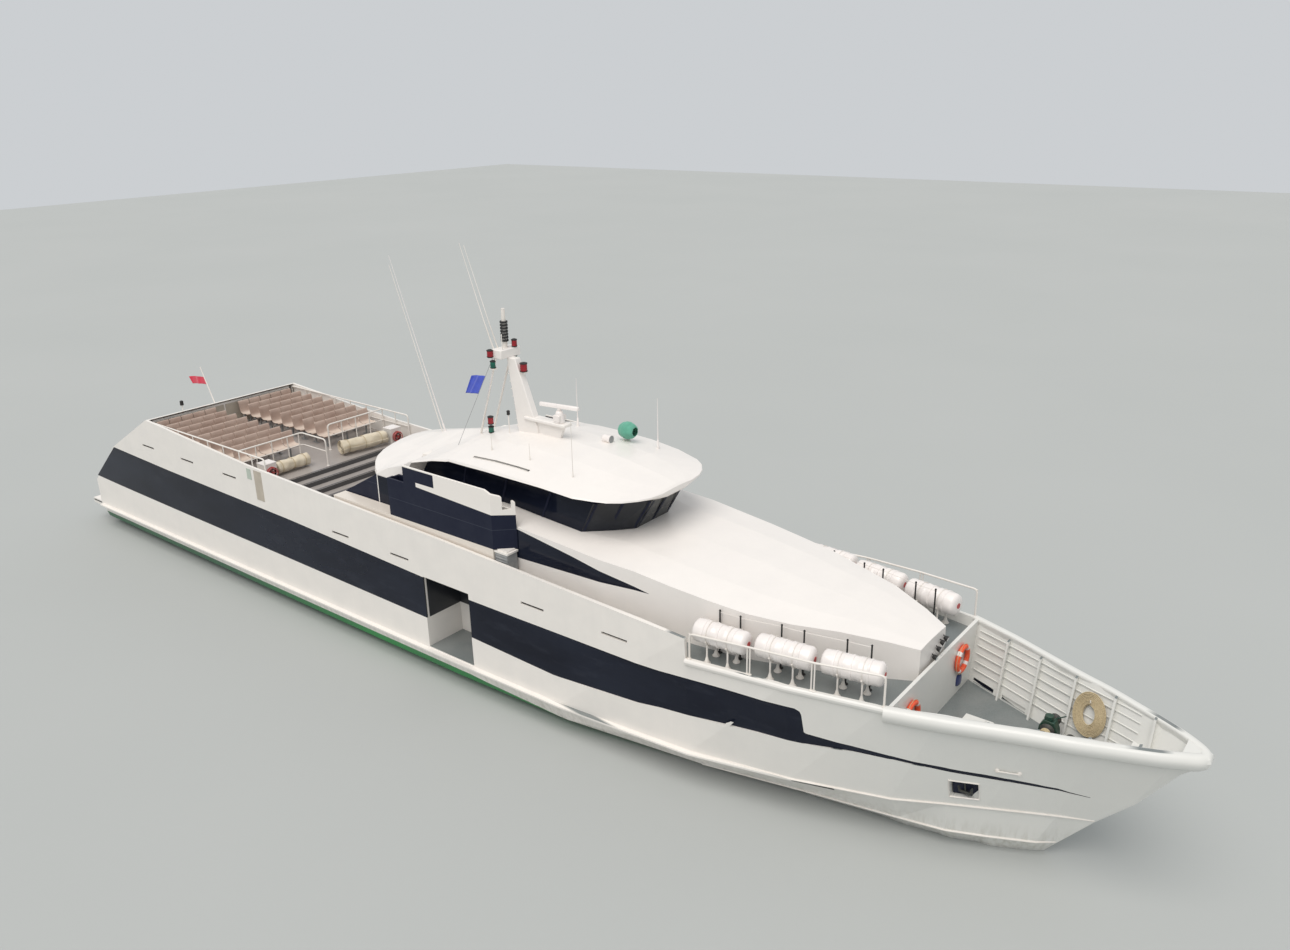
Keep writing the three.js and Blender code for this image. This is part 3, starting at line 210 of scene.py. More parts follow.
def deck_tone(nodes, x):
    """Speckled deck paint with worn places. The seat deck and the steps are a pinkish grey."""
    speckle = nodes.patches(0.35, 0.65, 60.0, 3)
    worn = nodes.patches(0.4, 0.65, 0.9, 4)
    deck = nodes.mix(speckle, (0.145, 0.165, 0.165), (0.20, 0.222, 0.22))
    deck = nodes.mix(nodes.times(worn, 0.5), deck, (0.25, 0.262, 0.255))
    seat_deck = nodes.mix(speckle, (0.34, 0.31, 0.29), (0.42, 0.385, 0.36))
    return nodes.mix(nodes.under(x, -4.0, 0.6), deck, seat_deck)


def white_paint():
    """Hull and deck plating: white sides, grey decks and a stained strip above the waterline."""
    nodes = paint("white_paint", WHITE, (0.74, 0.715, 0.68), 0.34, 0.2, 0.35)
    tone = nodes.tone()
    x, y, z = nodes.axes()
    ahead, _, up = nodes.facing()
    inboard = nodes.under(nodes.size(y), INSIDE, 0.01)
    # the bow is a little greener than the sides, and painted darker as painted shade on its forward-facing
    # plating
    tone = nodes.mix(nodes.times(nodes.range(x, 9.0, 15.0), 0.6), tone, (0.66, 0.68, 0.655))
    stain = nodes.range(z, 0.35, 0.95, 0.5, 0.0)
    streak = nodes.patches(0.42, 0.68, 9.0, 4, (1, 1, 0.12))
    tone = nodes.mix(nodes.times(stain, streak), tone, (0.42, 0.40, 0.33))
    # the walls of the side trunks are painted a darker, warmer tone: painted shade
    trunk = nodes.times(nodes.between(x, *TRUNK.x), nodes.between(z, *TRUNK.z), inboard, 0.6)
    tone = nodes.mix(trunk, tone, (0.74, 0.655, 0.56))
    # the walls of the boarding recess are near black above a white kerb: partly the dark band carried into
    # the recess, partly painted shade inside it
    recess = nodes.times(nodes.between(x, *RECESS.x), nodes.between(z, *RECESS.z), inboard)
    tone = nodes.mix(recess, tone, (0.016, 0.018, 0.024))
    decks = nodes.between(z, DECK_LEVELS[0] - 0.012, DECK_LEVELS[0] + 0.012)
    for height in DECK_LEVELS[1:]:
        decks = nodes.most(decks, nodes.between(z, height - 0.012, height + 0.012))
    decks = nodes.times(decks, nodes.over(up, 0.95, 0.02))
    tone = nodes.mix(decks, tone, deck_tone(nodes, x))
    # the risers of the steps, and a strip on each tread, are dark
    rise = nodes.times(nodes.between(z, *STEPS.z), nodes.between(x, *STEPS.x))
    dark = nodes.times(nodes.range(ahead, 0.8, 0.95), rise, inboard)
    back, front = STEPS.strip
    for edge in STEPS.edges:
        dark = nodes.most(dark, nodes.times(nodes.between(x, edge - back, edge - front), decks))
    nodes.set(Base_Color=nodes.mix(dark, tone, (0.075, 0.072, 0.075)))
    return nodes.material


def house_paint():
    return paint("house_paint", (0.86, 0.82, 0.78), (0.76, 0.73, 0.70), 0.36, 0.2, 0.25).material


def white_rail():
    return paint("white_rail", (0.84, 0.80, 0.75), (0.62, 0.55, 0.47), 0.38, 0.2, 0.3, 0.0004).material


def white_plastic():
    """Gelcoat housings, smoother and brighter than paint."""
    nodes = paint("moulded_white", (0.88, 0.83, 0.80), (0.74, 0.69, 0.66), 0.28, 0.3, 0.4, 0.0005)
    return nodes.material


def antifouling():
    """Matt green bottom paint: duller aft, brighter amidships, scrubbed lighter near the waterline."""
    nodes = Nodes("antifouling")
    x, _, z = nodes.axes()
    mid = nodes.between(x, -6.0, 12.0, 4.0)
    patch = nodes.patches(0.35, 0.65, 0.8, 5, (0.4, 1, 1.6))
    green = nodes.mix(mid, (0.035, 0.135, 0.065), (0.022, 0.27, 0.06))
    green = nodes.mix(nodes.times(patch, 0.45), green, (0.03, 0.10, 0.055))
    chalk = nodes.patches(0.5, 0.8, 7.0, 5)
    green = nodes.mix(nodes.times(chalk, 0.25), green, (0.22, 0.42, 0.26))
    slime = nodes.range(z, -1.0, -0.1, 0.6, 0.0)
    green = nodes.mix(nodes.times(slime, patch), green, (0.03, 0.055, 0.025))
    nodes.set(Base_Color=green, Roughness=nodes.range(chalk, 0.0, 1.0, 0.42, 0.7))
    nodes.bump(nodes.noise(22.0, 5), 0.01, 0.35)
    return nodes.material


def dark_glazing():
    """Tinted glass: almost black blue and glossy, with a little salt on it."""
    nodes = Nodes("dark_glazing")
    z = nodes.axes()[2]
    tint = nodes.patches(0.35, 0.7, 0.5, 4, (0.5, 1, 1.5))
    colour = nodes.mix(tint, (0.006, 0.008, 0.017), (0.014, 0.018, 0.032))
    salt = nodes.patches(0.55, 0.8, 3.5, 5, (0.3, 1, 1))
    colour = nodes.mix(nodes.times(salt, 0.25), colour, (0.05, 0.056, 0.075))
    # the raked front panes catch a warmer light
    ahead = nodes.range(nodes.facing()[0], 0.5, 1.0)
    front = nodes.times(ahead, nodes.range(z, 5.2, 6.1, 0.5, 1.0))
    colour = nodes.mix(nodes.times(front, 0.8), colour, (0.12, 0.12, 0.105))
    nodes.set(Base_Color=colour, Roughness=nodes.range(salt, 0.0, 1.0, 0.07, 0.22))
    nodes.set(Coat_Weight=0.05, Coat_Roughness=0.03, IOR=1.3, Specular_IOR_Level=0.35)
    nodes.bump(nodes.noise(0.7, 2, (0.6, 1, 1)), 0.018, 0.6)
    return nodes.material


# Bridge wings: where the white parapet starts, its sloped lower edge and the notch in it
WING = Sizes(out=2.45, seam=5.2, slope=0.0486, edge=5.779, front=1.101, notch=0.36, skirt=5.884,
             cap=6.2475)
CANOPY_CORNER = Sizes(z=5.99, x=-0.31)


def dark_paint():
    """Navy paint of the wheelhouse and bridge wings. The wings' forward parapets are white."""
    nodes = paint("dark_paint", (0.009, 0.012, 0.030), (0.017, 0.021, 0.040), 0.42, 0.0, 0.6)
    nodes.set(IOR=1.3, Specular_IOR_Level=0.4)
    tone = nodes.tone()
    x, y, z = nodes.axes()
    seam = nodes.between(z, WING.seam - 0.005, WING.seam + 0.005, 0.002)
    tone = nodes.mix(nodes.times(seam, 0.5), tone, (0.10, 0.11, 0.14))
    away = nodes.over(nodes.size(y), WING.out, 0.01)
    edge = nodes.math("ADD", z, nodes.times(x, WING.slope))
    forward = nodes.over(x, WING.front, 0.003)
    skirt = nodes.times(nodes.over(x, WING.notch, 0.002), nodes.under(z, WING.skirt, 0.002))
    parapet = nodes.times(nodes.over(edge, WING.edge, 0.002), nodes.most(forward, skirt))
    white = nodes.times(away, nodes.most(parapet, nodes.over(z, WING.cap, 0.0025)))
    # the aft upper corners of the wheelhouse are painted with the roof
    corner = nodes.times(nodes.over(z, CANOPY_CORNER.z, 0.01), nodes.under(x, CANOPY_CORNER.x, 0.01))
    nodes.set(Base_Color=nodes.mix(nodes.most(white, corner), tone, WHITE))
    return nodes.material


def bridge_trim():
    nodes = paint("bridge_trim", (0.10, 0.105, 0.11), (0.16, 0.16, 0.155), 0.6, 0.0, 0.6, 0.0006)
    return nodes.material


def stage_floor():
    nodes = Nodes("stage_floor")
    tone = nodes.mix(nodes.noise(0.05, 3), (0.42, 0.44, 0.43), (0.46, 0.475, 0.465))
    nodes.set(Base_Color=tone, Roughness=0.75)
    return nodes.material


def weave(name, colour, shade, threads=900.0, sheen=0.3, wear=0.5):
    """Woven cloth: crossed threads, soft folds of painted shade and fuzz."""
    nodes = Nodes(name)
    x, y, z = nodes.axes()
    warp = nodes.math("SINE", nodes.times(nodes.math("ADD", x, y), threads))
    weft = nodes.math("SINE", nodes.times(z, threads))
    cloth = nodes.times(warp, weft)
    # blotches of painted shade for soft folds in the cloth; wear sets how dark they are
    fold_shade = nodes.patches(0.35, 0.7, 5.0, 5)
    tone = nodes.mix(nodes.times(fold_shade, wear), colour, shade)
    tone = nodes.mix(nodes.range(cloth, -1.0, 1.0, 0.0, 0.18), tone, shade)
    nodes.set(Base_Color=tone, Roughness=0.88, Sheen_Weight=sheen, Sheen_Roughness=0.5)
    nodes.bump(cloth, 0.0006, 0.6)
    return nodes.material


def red_cloth():
    return weave("red_cloth", (0.68, 0.015, 0.06), (0.45, 0.01, 0.035))


def blue_cloth():
    return weave("blue_cloth", (0.06, 0.10, 0.55), (0.04, 0.06, 0.34))


def blue_bag():
    return weave("blue_bag", (0.030, 0.045, 0.16), (0.02, 0.03, 0.09), 800.0)


def canvas():
    return weave("canvas", (0.70, 0.62, 0.48), (0.56, 0.47, 0.34), 700.0)


def bench_plastic():
    """Moulded seat shells: brown-grey with sun-bleached patches, a painted highlight on the faces that look
    up, fine pebble grain.
    """
    nodes = Nodes("bench_plastic")
    up = nodes.facing()[2]
    bleach = nodes.patches(0.35, 0.7, 2.2, 5)
    tone = nodes.mix(bleach, (0.41, 0.29, 0.235), (0.50, 0.38, 0.315))
    # painted highlight: faces that look up are made lighter
    top = nodes.range(up, 0.5, 0.95, 0.0, 0.75)
    tone = nodes.mix(top, tone, (0.70, 0.60, 0.51))
    grain = nodes.noise(420.0, 2)
    nodes.set(Base_Color=tone, Roughness=nodes.range(bleach, 0.0, 1.0, 0.5, 0.66))
    nodes.bump(grain, 0.0008, 0.35)
    return nodes.material


def plain_metal(name, colour, shade, metallic, roughness, scale=18.0):
    """Bare or painted metal: blotches of wear and a fine brushed grain."""
    nodes = Nodes(name)
    blotch = nodes.patches(0.38, 0.68, scale, 5)
    brushed = nodes.noise(260.0, 2, (1, 0.05, 1))
    nodes.set(Base_Color=nodes.mix(blotch, colour, shade), Metallic=metallic)
    nodes.set(Roughness=nodes.range(blotch, 0.0, 1.0, roughness - 0.05, roughness + 0.18))
    nodes.bump(nodes.math("ADD", brushed, blotch), 0.0006, 0.4)
    return nodes.material


def dark_steel():
    return plain_metal("dark_steel", (0.030, 0.036, 0.036), (0.085, 0.075, 0.06), 0.2, 0.5)


def green_gear():
    return plain_metal("green_gear", (0.016, 0.058, 0.040), (0.05, 0.085, 0.06), 0.1, 0.45, 9.0)


def shaft_steel():
    return plain_metal("shaft_steel", (0.50, 0.50, 0.48), (0.36, 0.37, 0.34), 0.9, 0.32, 5.0)


def propeller_bronze():
    return plain_metal("propeller_bronze", (0.53, 0.36, 0.17), (0.35, 0.26, 0.13), 1.0, 0.28, 7.0)


def green_cover():
    return weave("green_cover", (0.13, 0.42, 0.30), (0.08, 0.28, 0.20), 800.0)


def orange_ring():
    """Coated foam: orange with scuffs."""
    nodes = Nodes("orange_ring")
    scuff = nodes.patches(0.52, 0.75, 14.0, 6)
    tone = nodes.mix(nodes.times(scuff, 0.5), (0.86, 0.105, 0.035), (0.90, 0.34, 0.22))
    nodes.set(Base_Color=tone, Roughness=nodes.range(scuff, 0.0, 1.0, 0.42, 0.62))
    nodes.bump(nodes.noise(180.0, 3), 0.0006, 0.4)
    return nodes.material


def rope():
    """Laid rope: pale fibres over lighter and darker strands."""
    nodes = Nodes("rope")
    fibres = nodes.noise(260.0, 4, (1, 1, 0.4))
    strand = nodes.noise(38.0, 2)
    tone = nodes.mix(nodes.range(strand, 0.35, 0.65), (0.60, 0.49, 0.30), (0.40, 0.31, 0.18))
    tone = nodes.mix(nodes.range(fibres, 0.4, 0.7, 0.0, 0.4), tone, (0.72, 0.63, 0.44))
    nodes.set(Base_Color=tone, Roughness=0.92, Sheen_Weight=0.15)
    nodes.bump(nodes.math("ADD", fibres, strand), 0.002, 0.6)
    return nodes.material


def black_rubber():
    return plain_metal("black_rubber", (0.012, 0.012, 0.013), (0.035, 0.034, 0.032), 0.0, 0.6, 30.0)


def red_lens():
    return plain_metal("red_lens", (0.36, 0.012, 0.02), (0.22, 0.008, 0.015), 0.0, 0.18, 12.0)


def green_lens():
    return plain_metal("green_lens", (0.006, 0.14, 0.09), (0.004, 0.07, 0.05), 0.0, 0.18, 12.0)


def clear_lens():
    return plain_metal("clear_lens", (0.55, 0.58, 0.58), (0.40, 0.44, 0.46), 0.0, 0.12, 12.0)


def red_paint():
    return plain_metal("red_paint", (0.55, 0.06, 0.06), (0.42, 0.10, 0.09), 0.0, 0.45, 8.0)


def pale_green():
    return plain_metal("pale_green", (0.50, 0.56, 0.48), (0.43, 0.49, 0.43), 0.0, 0.4, 3.0)


def beige_panel():
    return plain_metal("beige_panel", (0.52, 0.46, 0.38), (0.45, 0.40, 0.33), 0.0, 0.45, 3.0)


def grey_plastic():
    return plain_metal("grey_plastic", (0.26, 0.27, 0.275), (0.35, 0.35, 0.345), 0.0, 0.5, 6.0)


MATERIALS = {
    maker.__name__: maker()
    for maker in (
        white_paint, house_paint, antifouling, dark_glazing, dark_paint, bridge_trim, white_plastic,
        white_rail, red_cloth, blue_cloth, bench_plastic, canvas, green_cover, green_gear, dark_steel,
        orange_ring, rope, shaft_steel, propeller_bronze, black_rubber, red_lens, green_lens,
        clear_lens, red_paint, pale_green, beige_panel, grey_plastic, blue_bag,
    )
}
HOUSE_NODES = ("deckhouse", "wheelhouse_roof", "mast")


def dress_nodes():
    """Gives each carried-over solid the material of its slot in the record; the deckhouse, wheelhouse roof
    and mast get the house paint instead.
    """
    for entry in frame["record"]["subparts"]:
        name = entry["node"]
        finish = "house_paint" if name in HOUSE_NODES else entry["material_slot"]
        node = frame["nodes"][name]
        node.data.materials.clear()
        node.data.materials.append(MATERIALS[finish])


# Shapes
def turns(count):
    """Angles all the way round."""
    return [2 * math.pi * k / count for k in range(count)]


def shares(count):
    """Even steps from 0 to 1."""
    return [k / count for k in range(count + 1)]


def circle(centre, across, up, count, start=0.0, step=None):
    """Points round a centre, or along a part of its circle. The two directions' lengths are the radii."""
    step = step or 2 * math.pi / count
    angles = [start + step * k for k in range(count)]
    return [Vector(centre) + across * math.cos(t) + up * math.sin(t) for t in angles]


def at_height(point, z):
    return Vector((point[0], point[1], z))


class Shape:
    """Collects the faces of one piece. A mark picks the material of the faces that follow it."""

    def __init__(self):
        self.points = []
        self.faces = []
        self.marks = []

    def add(self, points, faces, mark=0):
        start = len(self.points)
        self.points += [tuple(point) for point in points]
        self.faces += [tuple(start + i for i in face) for face in faces]
        self.marks += [mark] * len(faces)

    def rings(self, rings, mark=0, closed=False, caps=True):
        """A skin through rings that all have the same count of points."""
        count = len(rings[0])
        faces = []
        for i in range(len(rings) if closed else len(rings) - 1):
            low = i * count
            high = (i + 1) % len(rings) * count
            for j in range(count):
                after = (j + 1) % count
                faces.append((low + j, low + after, high + after, high + j))
        if caps and not closed:
            faces.append(tuple(range(count)))
            faces.append(tuple(range((len(rings) - 1) * count, len(rings) * count)))
        self.add([point for ring in rings for point in ring], faces, mark)

    def grid(self, rows, mark=0):
        """An open surface through rows of points."""
        count = len(rows[0])
        faces = [
            (i * count + j, i * count + j + 1, (i + 1) * count + j + 1, (i + 1) * count + j)
            for i in range(len(rows) - 1)
            for j in range(count - 1)
        ]
        self.add([point for row in rows for point in row], faces, mark)

    def tube(self, path, radius, sides=10, mark=0, closed=False):
        """A round bar along a path. The radius is one value, or one for each point."""
        path = [Vector(point) for point in path]
        last = len(path) - 1
        radii = radius if isinstance(radius, list) else [radius] * len(path)
        rings = []
        side = None
        for i, point in enumerate(path):
            before = path[i - 1] if i or closed else point
            after = path[0 if i == last else i + 1] if i < last or closed else point
            along = (after - before).normalized()
            side = along.orthogonal() if side is None else side - along * side.dot(along)
            side.normalize()
            up = along.cross(side)
            rings.append(circle(point, side * radii[i], up * radii[i], sides))
        self.rings(rings, mark, closed)

    def bar(self, start, end, radius, sides=10, mark=0):
        self.tube([start, end], radius, sides, mark)

    def lathe(self, profile, origin=(0, 0, 0), axis=(0, 0, 1), sides=20, mark=0):
        """A turned body: (radius, distance) pairs along the axis."""
        turn = UP.rotation_difference(Vector(axis)).to_matrix()
        rings = []
        for radius, along in profile:
            flat = circle(UP * along, AHEAD * radius, PORT * radius, sides)
            rings.append([turn @ point + Vector(origin) for point in flat])
        self.rings(rings, mark)

    def prism(self, outline, along, mark=0):
        """A flat outline of points in space, given depth by a vector."""
        moved = [Vector(point) + Vector(along) for point in outline]
        self.rings([[Vector(point) for point in outline], moved], mark)

    def block(self, low, high, mark=0):
        (x0, y0, z0), (x1, y1, z1) = low, high
        self.prism([(x0, y0, z0), (x1, y0, z0), (x1, y1, z0), (x0, y1, z0)], (0, 0, z1 - z0), mark)

    def ball(self, centre, radius, mark=0, squash=1.0):
        profile = [
            (radius * math.sin(math.pi * k / 10) + 1e-5, -radius * squash * math.cos(math.pi * k / 10))
            for k in range(11)
        ]
        self.lathe(profile, centre, sides=16, mark=mark)

    def piece(self, name, finishes, slot, body="boat", node="", bevel=0.0, smooth=40, thick=0.0):
        mesh = bpy.data.meshes.new(name)
        mesh.from_pydata(self.points, [], self.faces)
        mesh.polygons.foreach_set("material_index", self.marks)
        for finish in [finishes] if isinstance(finishes, str) else finishes:
            mesh.materials.append(MATERIALS[finish])
        clean = bmesh.new()
        clean.from_mesh(mesh)
        bmesh.ops.remove_doubles(clean, verts=clean.verts, dist=2e-5)
        bmesh.ops.recalc_face_normals(clean, faces=clean.faces)
        clean.to_mesh(mesh)
        clean.free()
        mesh.shade_smooth()
        mesh.set_sharp_from_angle(angle=math.radians(smooth))
        item = bpy.data.objects.new(name, mesh)
        bpy.context.collection.objects.link(item)
        if thick:
            solidify = item.modifiers.new("thickness", "SOLIDIFY")
            solidify.thickness = thick
            solidify.offset = 0
        if bevel:
            soften = item.modifiers.new("soft_edges", "BEVEL")
            soften.width = bevel
            soften.segments = 2
            soften.limit_method = "ANGLE"
            soften.angle_limit = math.radians(50)
        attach(item, body)
        if node:
            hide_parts(node)
        return item


def bend(points, radius, steps=4):
    """The same path with its corners rounded off."""
    points = [Vector(point) for point in points]
    path = [points[0]]
    for before, corner, after in zip(points, points[1:], points[2:]):
        reach = min(radius, (corner - before).length / 2, (after - corner).length / 2)
        a = corner + (before - corner).normalized() * reach
        b = corner + (after - corner).normalized() * reach
        for t in shares(steps):
            path.append(a * (1 - t) ** 2 + corner * 2 * t * (1 - t) + b * t * t)
    return path + [points[-1]]


# The hull's outside: x, knuckle half width and height, sheer half width and height
HULL = [
    (-18.9, 3.05, 0.9, 3.05, 5.3),
    (5.5, 3.03, 0.93, 3.05, 4.32),
    (9.48, 2.8, 1.01, 3.03, 4.14),
    (12.0, 2.42, 1.11, 2.86, 3.77),
    (14.18, 1.86, 1.22, 2.47, 3.811),
    (15.2, 1.39, 1.27, 2.115, 3.79),
    (16.0, 1.03, 1.3, 1.79, 3.77),
    (16.9, 0.58, 1.3, 1.43, 3.745),
    (17.26, 0.39, 1.29, 1.28, 3.735),
    (17.93, 0.07, 1.26, 1.05, 3.715),
    (18.64, 0.075, 2.06, 0.74, 3.69),
    (19.32, 0.075, 3.06, 0.4, 3.66),
    (19.7, 0.075, 3.4, 0.15, 3.62),
]


def hull_half(x, z, inset=0.0):
    """Half width of the hull's side at a place above the knuckle, less an inset."""
    row, after = next(((a, b) for a, b in zip(HULL, HULL[1:]) if b[0] >= x), (HULL[-2], HULL[-1]))
    t = (x - row[0]) / (after[0] - row[0])
    _, knuckle_y, knuckle_z, sheer_y, sheer_z = [a + t * (b - a) for a, b in zip(row, after)]
    rise = max(0.0, (z - knuckle_z) / (sheer_z - knuckle_z))
    return knuckle_y + rise * (sheer_y - knuckle_y) - inset


def skin_point(x, z, side, out=0.0):
    """A point on the hull's side, moved outwards by a little."""
    return Vector((x, side * (hull_half(x, z) + out), z))


# Seat deck: rails, benches, canvas and lockers
SEAT_RAIL = Sizes(y=2.9, aft=-14.0, fore=-7.0, front=-8.43, bend=0.12)
SEAT_POSTS = Sizes(pitch=0.9283, count=6, last=-7.715, across=(1.7, 1.1, 2.3), radius=0.02)
SEAT_BARS = {"top": (5.062, 0.025), "middle": (4.65, 0.017)}
STAIR = Sizes(y=0.53, front=-7.1, post=0.13)
RAIL_FOOT = ((0.05, 0.002), (0.05, 0.012), (0.03, 0.022), (0.026, 0.05))


def seat_rails(name, side):
    """A rail along the side, and one across the front that turns down beside the steps to starboard."""
    shape = Shape()
    base, y, front = SEAT_DECK + 0.002, side * SEAT_RAIL.y, SEAT_RAIL.front
    aft, fore, stair = SEAT_RAIL.aft, SEAT_RAIL.fore, side * STAIR.y
    corners = [(front, y), (front, stair)]
    if side < 0:
        corners.append((STAIR.front, stair))
    for level, (z, radius) in SEAT_BARS.items():
        along = [(aft, y, z), (fore, y, z)]
        cross = [(x, end_y, z) for x, end_y in corners]
        if level == "top":
            along = [(aft, y, base), *along, (fore, y, base)]
            cross.append((*corners[-1], base))
        shape.tube(bend(along, SEAT_RAIL.bend), radius, 12)
        shape.tube(bend(cross, SEAT_RAIL.bend), radius, 12)
    feet = [(aft + SEAT_POSTS.pitch * i, y) for i in range(1, SEAT_POSTS.count + 1)]
    feet += [(SEAT_POSTS.last, y), *((front, side * across) for across in SEAT_POSTS.across)]
    if side < 0:
        feet.append((front, stair + side * STAIR.post))
    for x, foot_y in feet:
        shape.bar((x, foot_y, base), (x, foot_y, SEAT_BARS["top"][0]), SEAT_POSTS.radius)
    for x, foot_y in [*feet, (aft, y), (fore, y), corners[-1]]:
        shape.lathe(RAIL_FOOT, (x, foot_y, SEAT_DECK))
    shape.piece(f"seat_deck_rails_{name}", "white_rail", "white_rail", node=f"seat_deck_rail_{name}")


BENCH = Sizes(rows=8, pitch=0.68, first=-13.9, inner=0.45, outer=2.75, seats=5)
SEAT_PROFILE = (
    (-0.01, 0.86), (0.006, 0.872), (0.03, 0.85), (0.05, 0.74), (0.07, 0.62), (0.10, 0.50), (0.15, 0.435),
    (0.22, 0.415), (0.30, 0.412), (0.38, 0.425), (0.44, 0.435), (0.475, 0.42), (0.485, 0.385),
)
SEAT_ACROSS = (-1, -0.93, -0.7, -0.35, 0, 0.35, 0.7, 0.93, 1)
SEAT_LIP = Sizes(lift=0.022, gap=0.012)
BEAM = Sizes(aft=0.22, fore=0.30, low=0.33, high=0.385, short=0.05)
LEGS = (0.75, 1.6, 2.45)
# leg, foot plate and seat bracket: aft and fore end, half width, bottom and top over the deck
LEG_PARTS = (
    (0.235, 0.285, 0.02, 0.015, 0.34),
    (0.10, 0.42, 0.04, 0.003, 0.015),
    (0.08, 0.42, 0.015, 0.36, 0.40),
)


def bench_rows(name, side):
    """Rows of moulded seat shells on a beam with three legs."""
    shells, frames = Shape(), Shape()
    width = (BENCH.outer - BENCH.inner) / BENCH.seats
    half_seat = width / 2 - SEAT_LIP.gap
    for row in range(BENCH.rows):
        x0 = BENCH.first + row * BENCH.pitch
        for seat in range(BENCH.seats):
            middle = side * (BENCH.inner + width * (seat + 0.5))
            rows = []
            for across in SEAT_ACROSS:
                lift = SEAT_LIP.lift * across ** 4
                y = middle + across * half_seat
                rows.append([
                    (x0 + x + 0.5 * lift, y, SEAT_DECK + z + (lift if x > 0.1 else 0))
                    for x, z in SEAT_PROFILE
                ])
            shells.grid(rows)
        ends = (BENCH.inner + BEAM.short, BENCH.outer - BEAM.short)
        low, high = sorted(side * end for end in ends)
        frames.block((x0 + BEAM.aft, low, SEAT_DECK + BEAM.low),
                     (x0 + BEAM.fore, high, SEAT_DECK + BEAM.high))
        for y in (side * leg for leg in LEGS):
            for aft, fore, half, bottom, top in LEG_PARTS:
                frames.block((x0 + aft, y - half, SEAT_DECK + bottom), (x0 + fore, y + half, SEAT_DECK + top))
    node = f"benches_{name}"
    shells.piece(f"bench_seats_{name}", "bench_plastic", "bench_plastic", node=node, thick=0.014)
    frames.piece(f"bench_frames_{name}", "grey_plastic", "bridge_trim", bevel=0.004)


# x and distance from the centreline of both ends of each roll
ROLLS = {
    "starboard": Sizes(inner=(-7.7, 0.9), outer=(-7.7, 2.12), radius=0.26),
    "port": Sizes(inner=(-7.6, 0.38), outer=(-7.35, 2.08), radius=0.30),
}
WINDING = Sizes(core=0.05, turns=4.0, fill=0.93, flat=0.94, sink=0.012, steps=112, across=36)
TIES = (0.14, 0.5, 0.86)
TIE = Sizes(radius=0.009, pinch=0.12, width=0.035, share=0.9)


def canvas_rolls(name, side):
    """A rolled awning: one long sheet wound up loosely, with three ties round it."""
    size = ROLLS[name]
    z = SEAT_DECK + size.radius - WINDING.sink
    inner, outer = (Vector((x, side * y, z)) for x, y in (size.inner, size.outer))
    full = size.radius * WINDING.fill
    along = (outer - inner).normalized()
    across = Vector((along.y, -along.x, 0))
    count = WINDING.across
    rows = []
    for t in shares(WINDING.steps):
        angle = 2 * math.pi * WINDING.turns * t
        radius = WINDING.core + (full - WINDING.core) * t
        row = []
        for u in shares(count):
            slack = 0.012 * math.sin(9 * u + 2.2 * angle) + 0.008 * math.sin(23 * u - 3 * angle)
            slack += 0.010 * math.sin(5 * angle + 4 * u)
            pinch = TIE.pinch * sum(math.exp(-((u - c) / TIE.width) ** 2) for c in TIES)
            r = (radius + (slack - 0.012) * t) * (1 - pinch * t)
            row.append(inner.lerp(outer, u) + across * (r * math.cos(angle))
                       + UP * (WINDING.flat * r * math.sin(angle)))
        rows.append(row)
    shape, ties = Shape(), Shape()
    shape.grid(rows)
    node = f"canvas_roll_{name}"
    roll = shape.piece(f"canvas_sheet_{name}", "canvas", "canvas", node=node, smooth=60, thick=0.004)
    reach = (full - 0.005) * TIE.share
    for share in TIES:
        loop = circle(inner.lerp(outer, share), across * reach, UP * (WINDING.flat * reach), 24)
        ties.tube(loop, TIE.radius, 6, closed=True)
    tie = ties.piece(f"canvas_ties_{name}", "rope", "rope")


LOCKER = Sizes(length=0.42, inner=2.2, outer=2.64, height=0.52, lip=0.012, hasp=0.03)
REEL = Sizes(ahead=0.075, z=0.24, radius=0.17, half=0.045, hose=0.115)


def deck_lockers(name, side):
    """The lid with a lip and a hasp on each white locker by the rolls."""
    x = ROLLS[name].outer[0]
    back, front = x - LOCKER.length / 2, x + LOCKER.length / 2
    low, high = sorted((side * LOCKER.inner, side * LOCKER.outer))
    middle, top, lip, hasp = (low + high) / 2, SEAT_DECK + LOCKER.height, LOCKER.lip, LOCKER.hasp
    lid = Shape()
    lid.block((back - lip, low - lip, top + 0.002), (front + lip, high + lip, top + 0.02))
    lid.block((back + 0.03, low + 0.03, top + 0.02), (front - 0.03, high - 0.03, top + 0.028))
    lid.block((front + 0.002, middle - hasp, top - 0.10), (front + 0.012, middle + hasp, top - 0.01))
    lid.piece(f"deck_locker_lid_{name}", "white_plastic", "white_paint", bevel=0.004)
    hose_reel(name, Vector((front + REEL.ahead, middle, SEAT_DECK + REEL.z)))


def hose_reel(name, centre):
    """A red reel with two spoked rims and four turns of black hose."""
    reel = Shape()
    rim = REEL.radius
    for shift in (-REEL.half, REEL.half):
        hub = centre + AHEAD * shift
        reel.tube(circle(hub, PORT * rim, UP * rim, 24), 0.016, 8, closed=True)
        for start in circle(hub, PORT * rim, UP * rim, 3, 0.0, math.pi / 3):
            reel.bar(hub * 2 - start, start, 0.008, 6)
    reel.bar(centre - AHEAD * 0.07, centre + AHEAD * 0.05, 0.03, 12)
    for k in range(4):
        hose = circle(centre + AHEAD * (0.02 * k - 0.03), PORT * REEL.hose, UP * REEL.hose, 20)
        reel.tube(hose, 0.0115, 6, 1, closed=True)
    reel.piece(f"hose_reel_{name}", ["red_paint", "black_rubber"], "dark_steel")


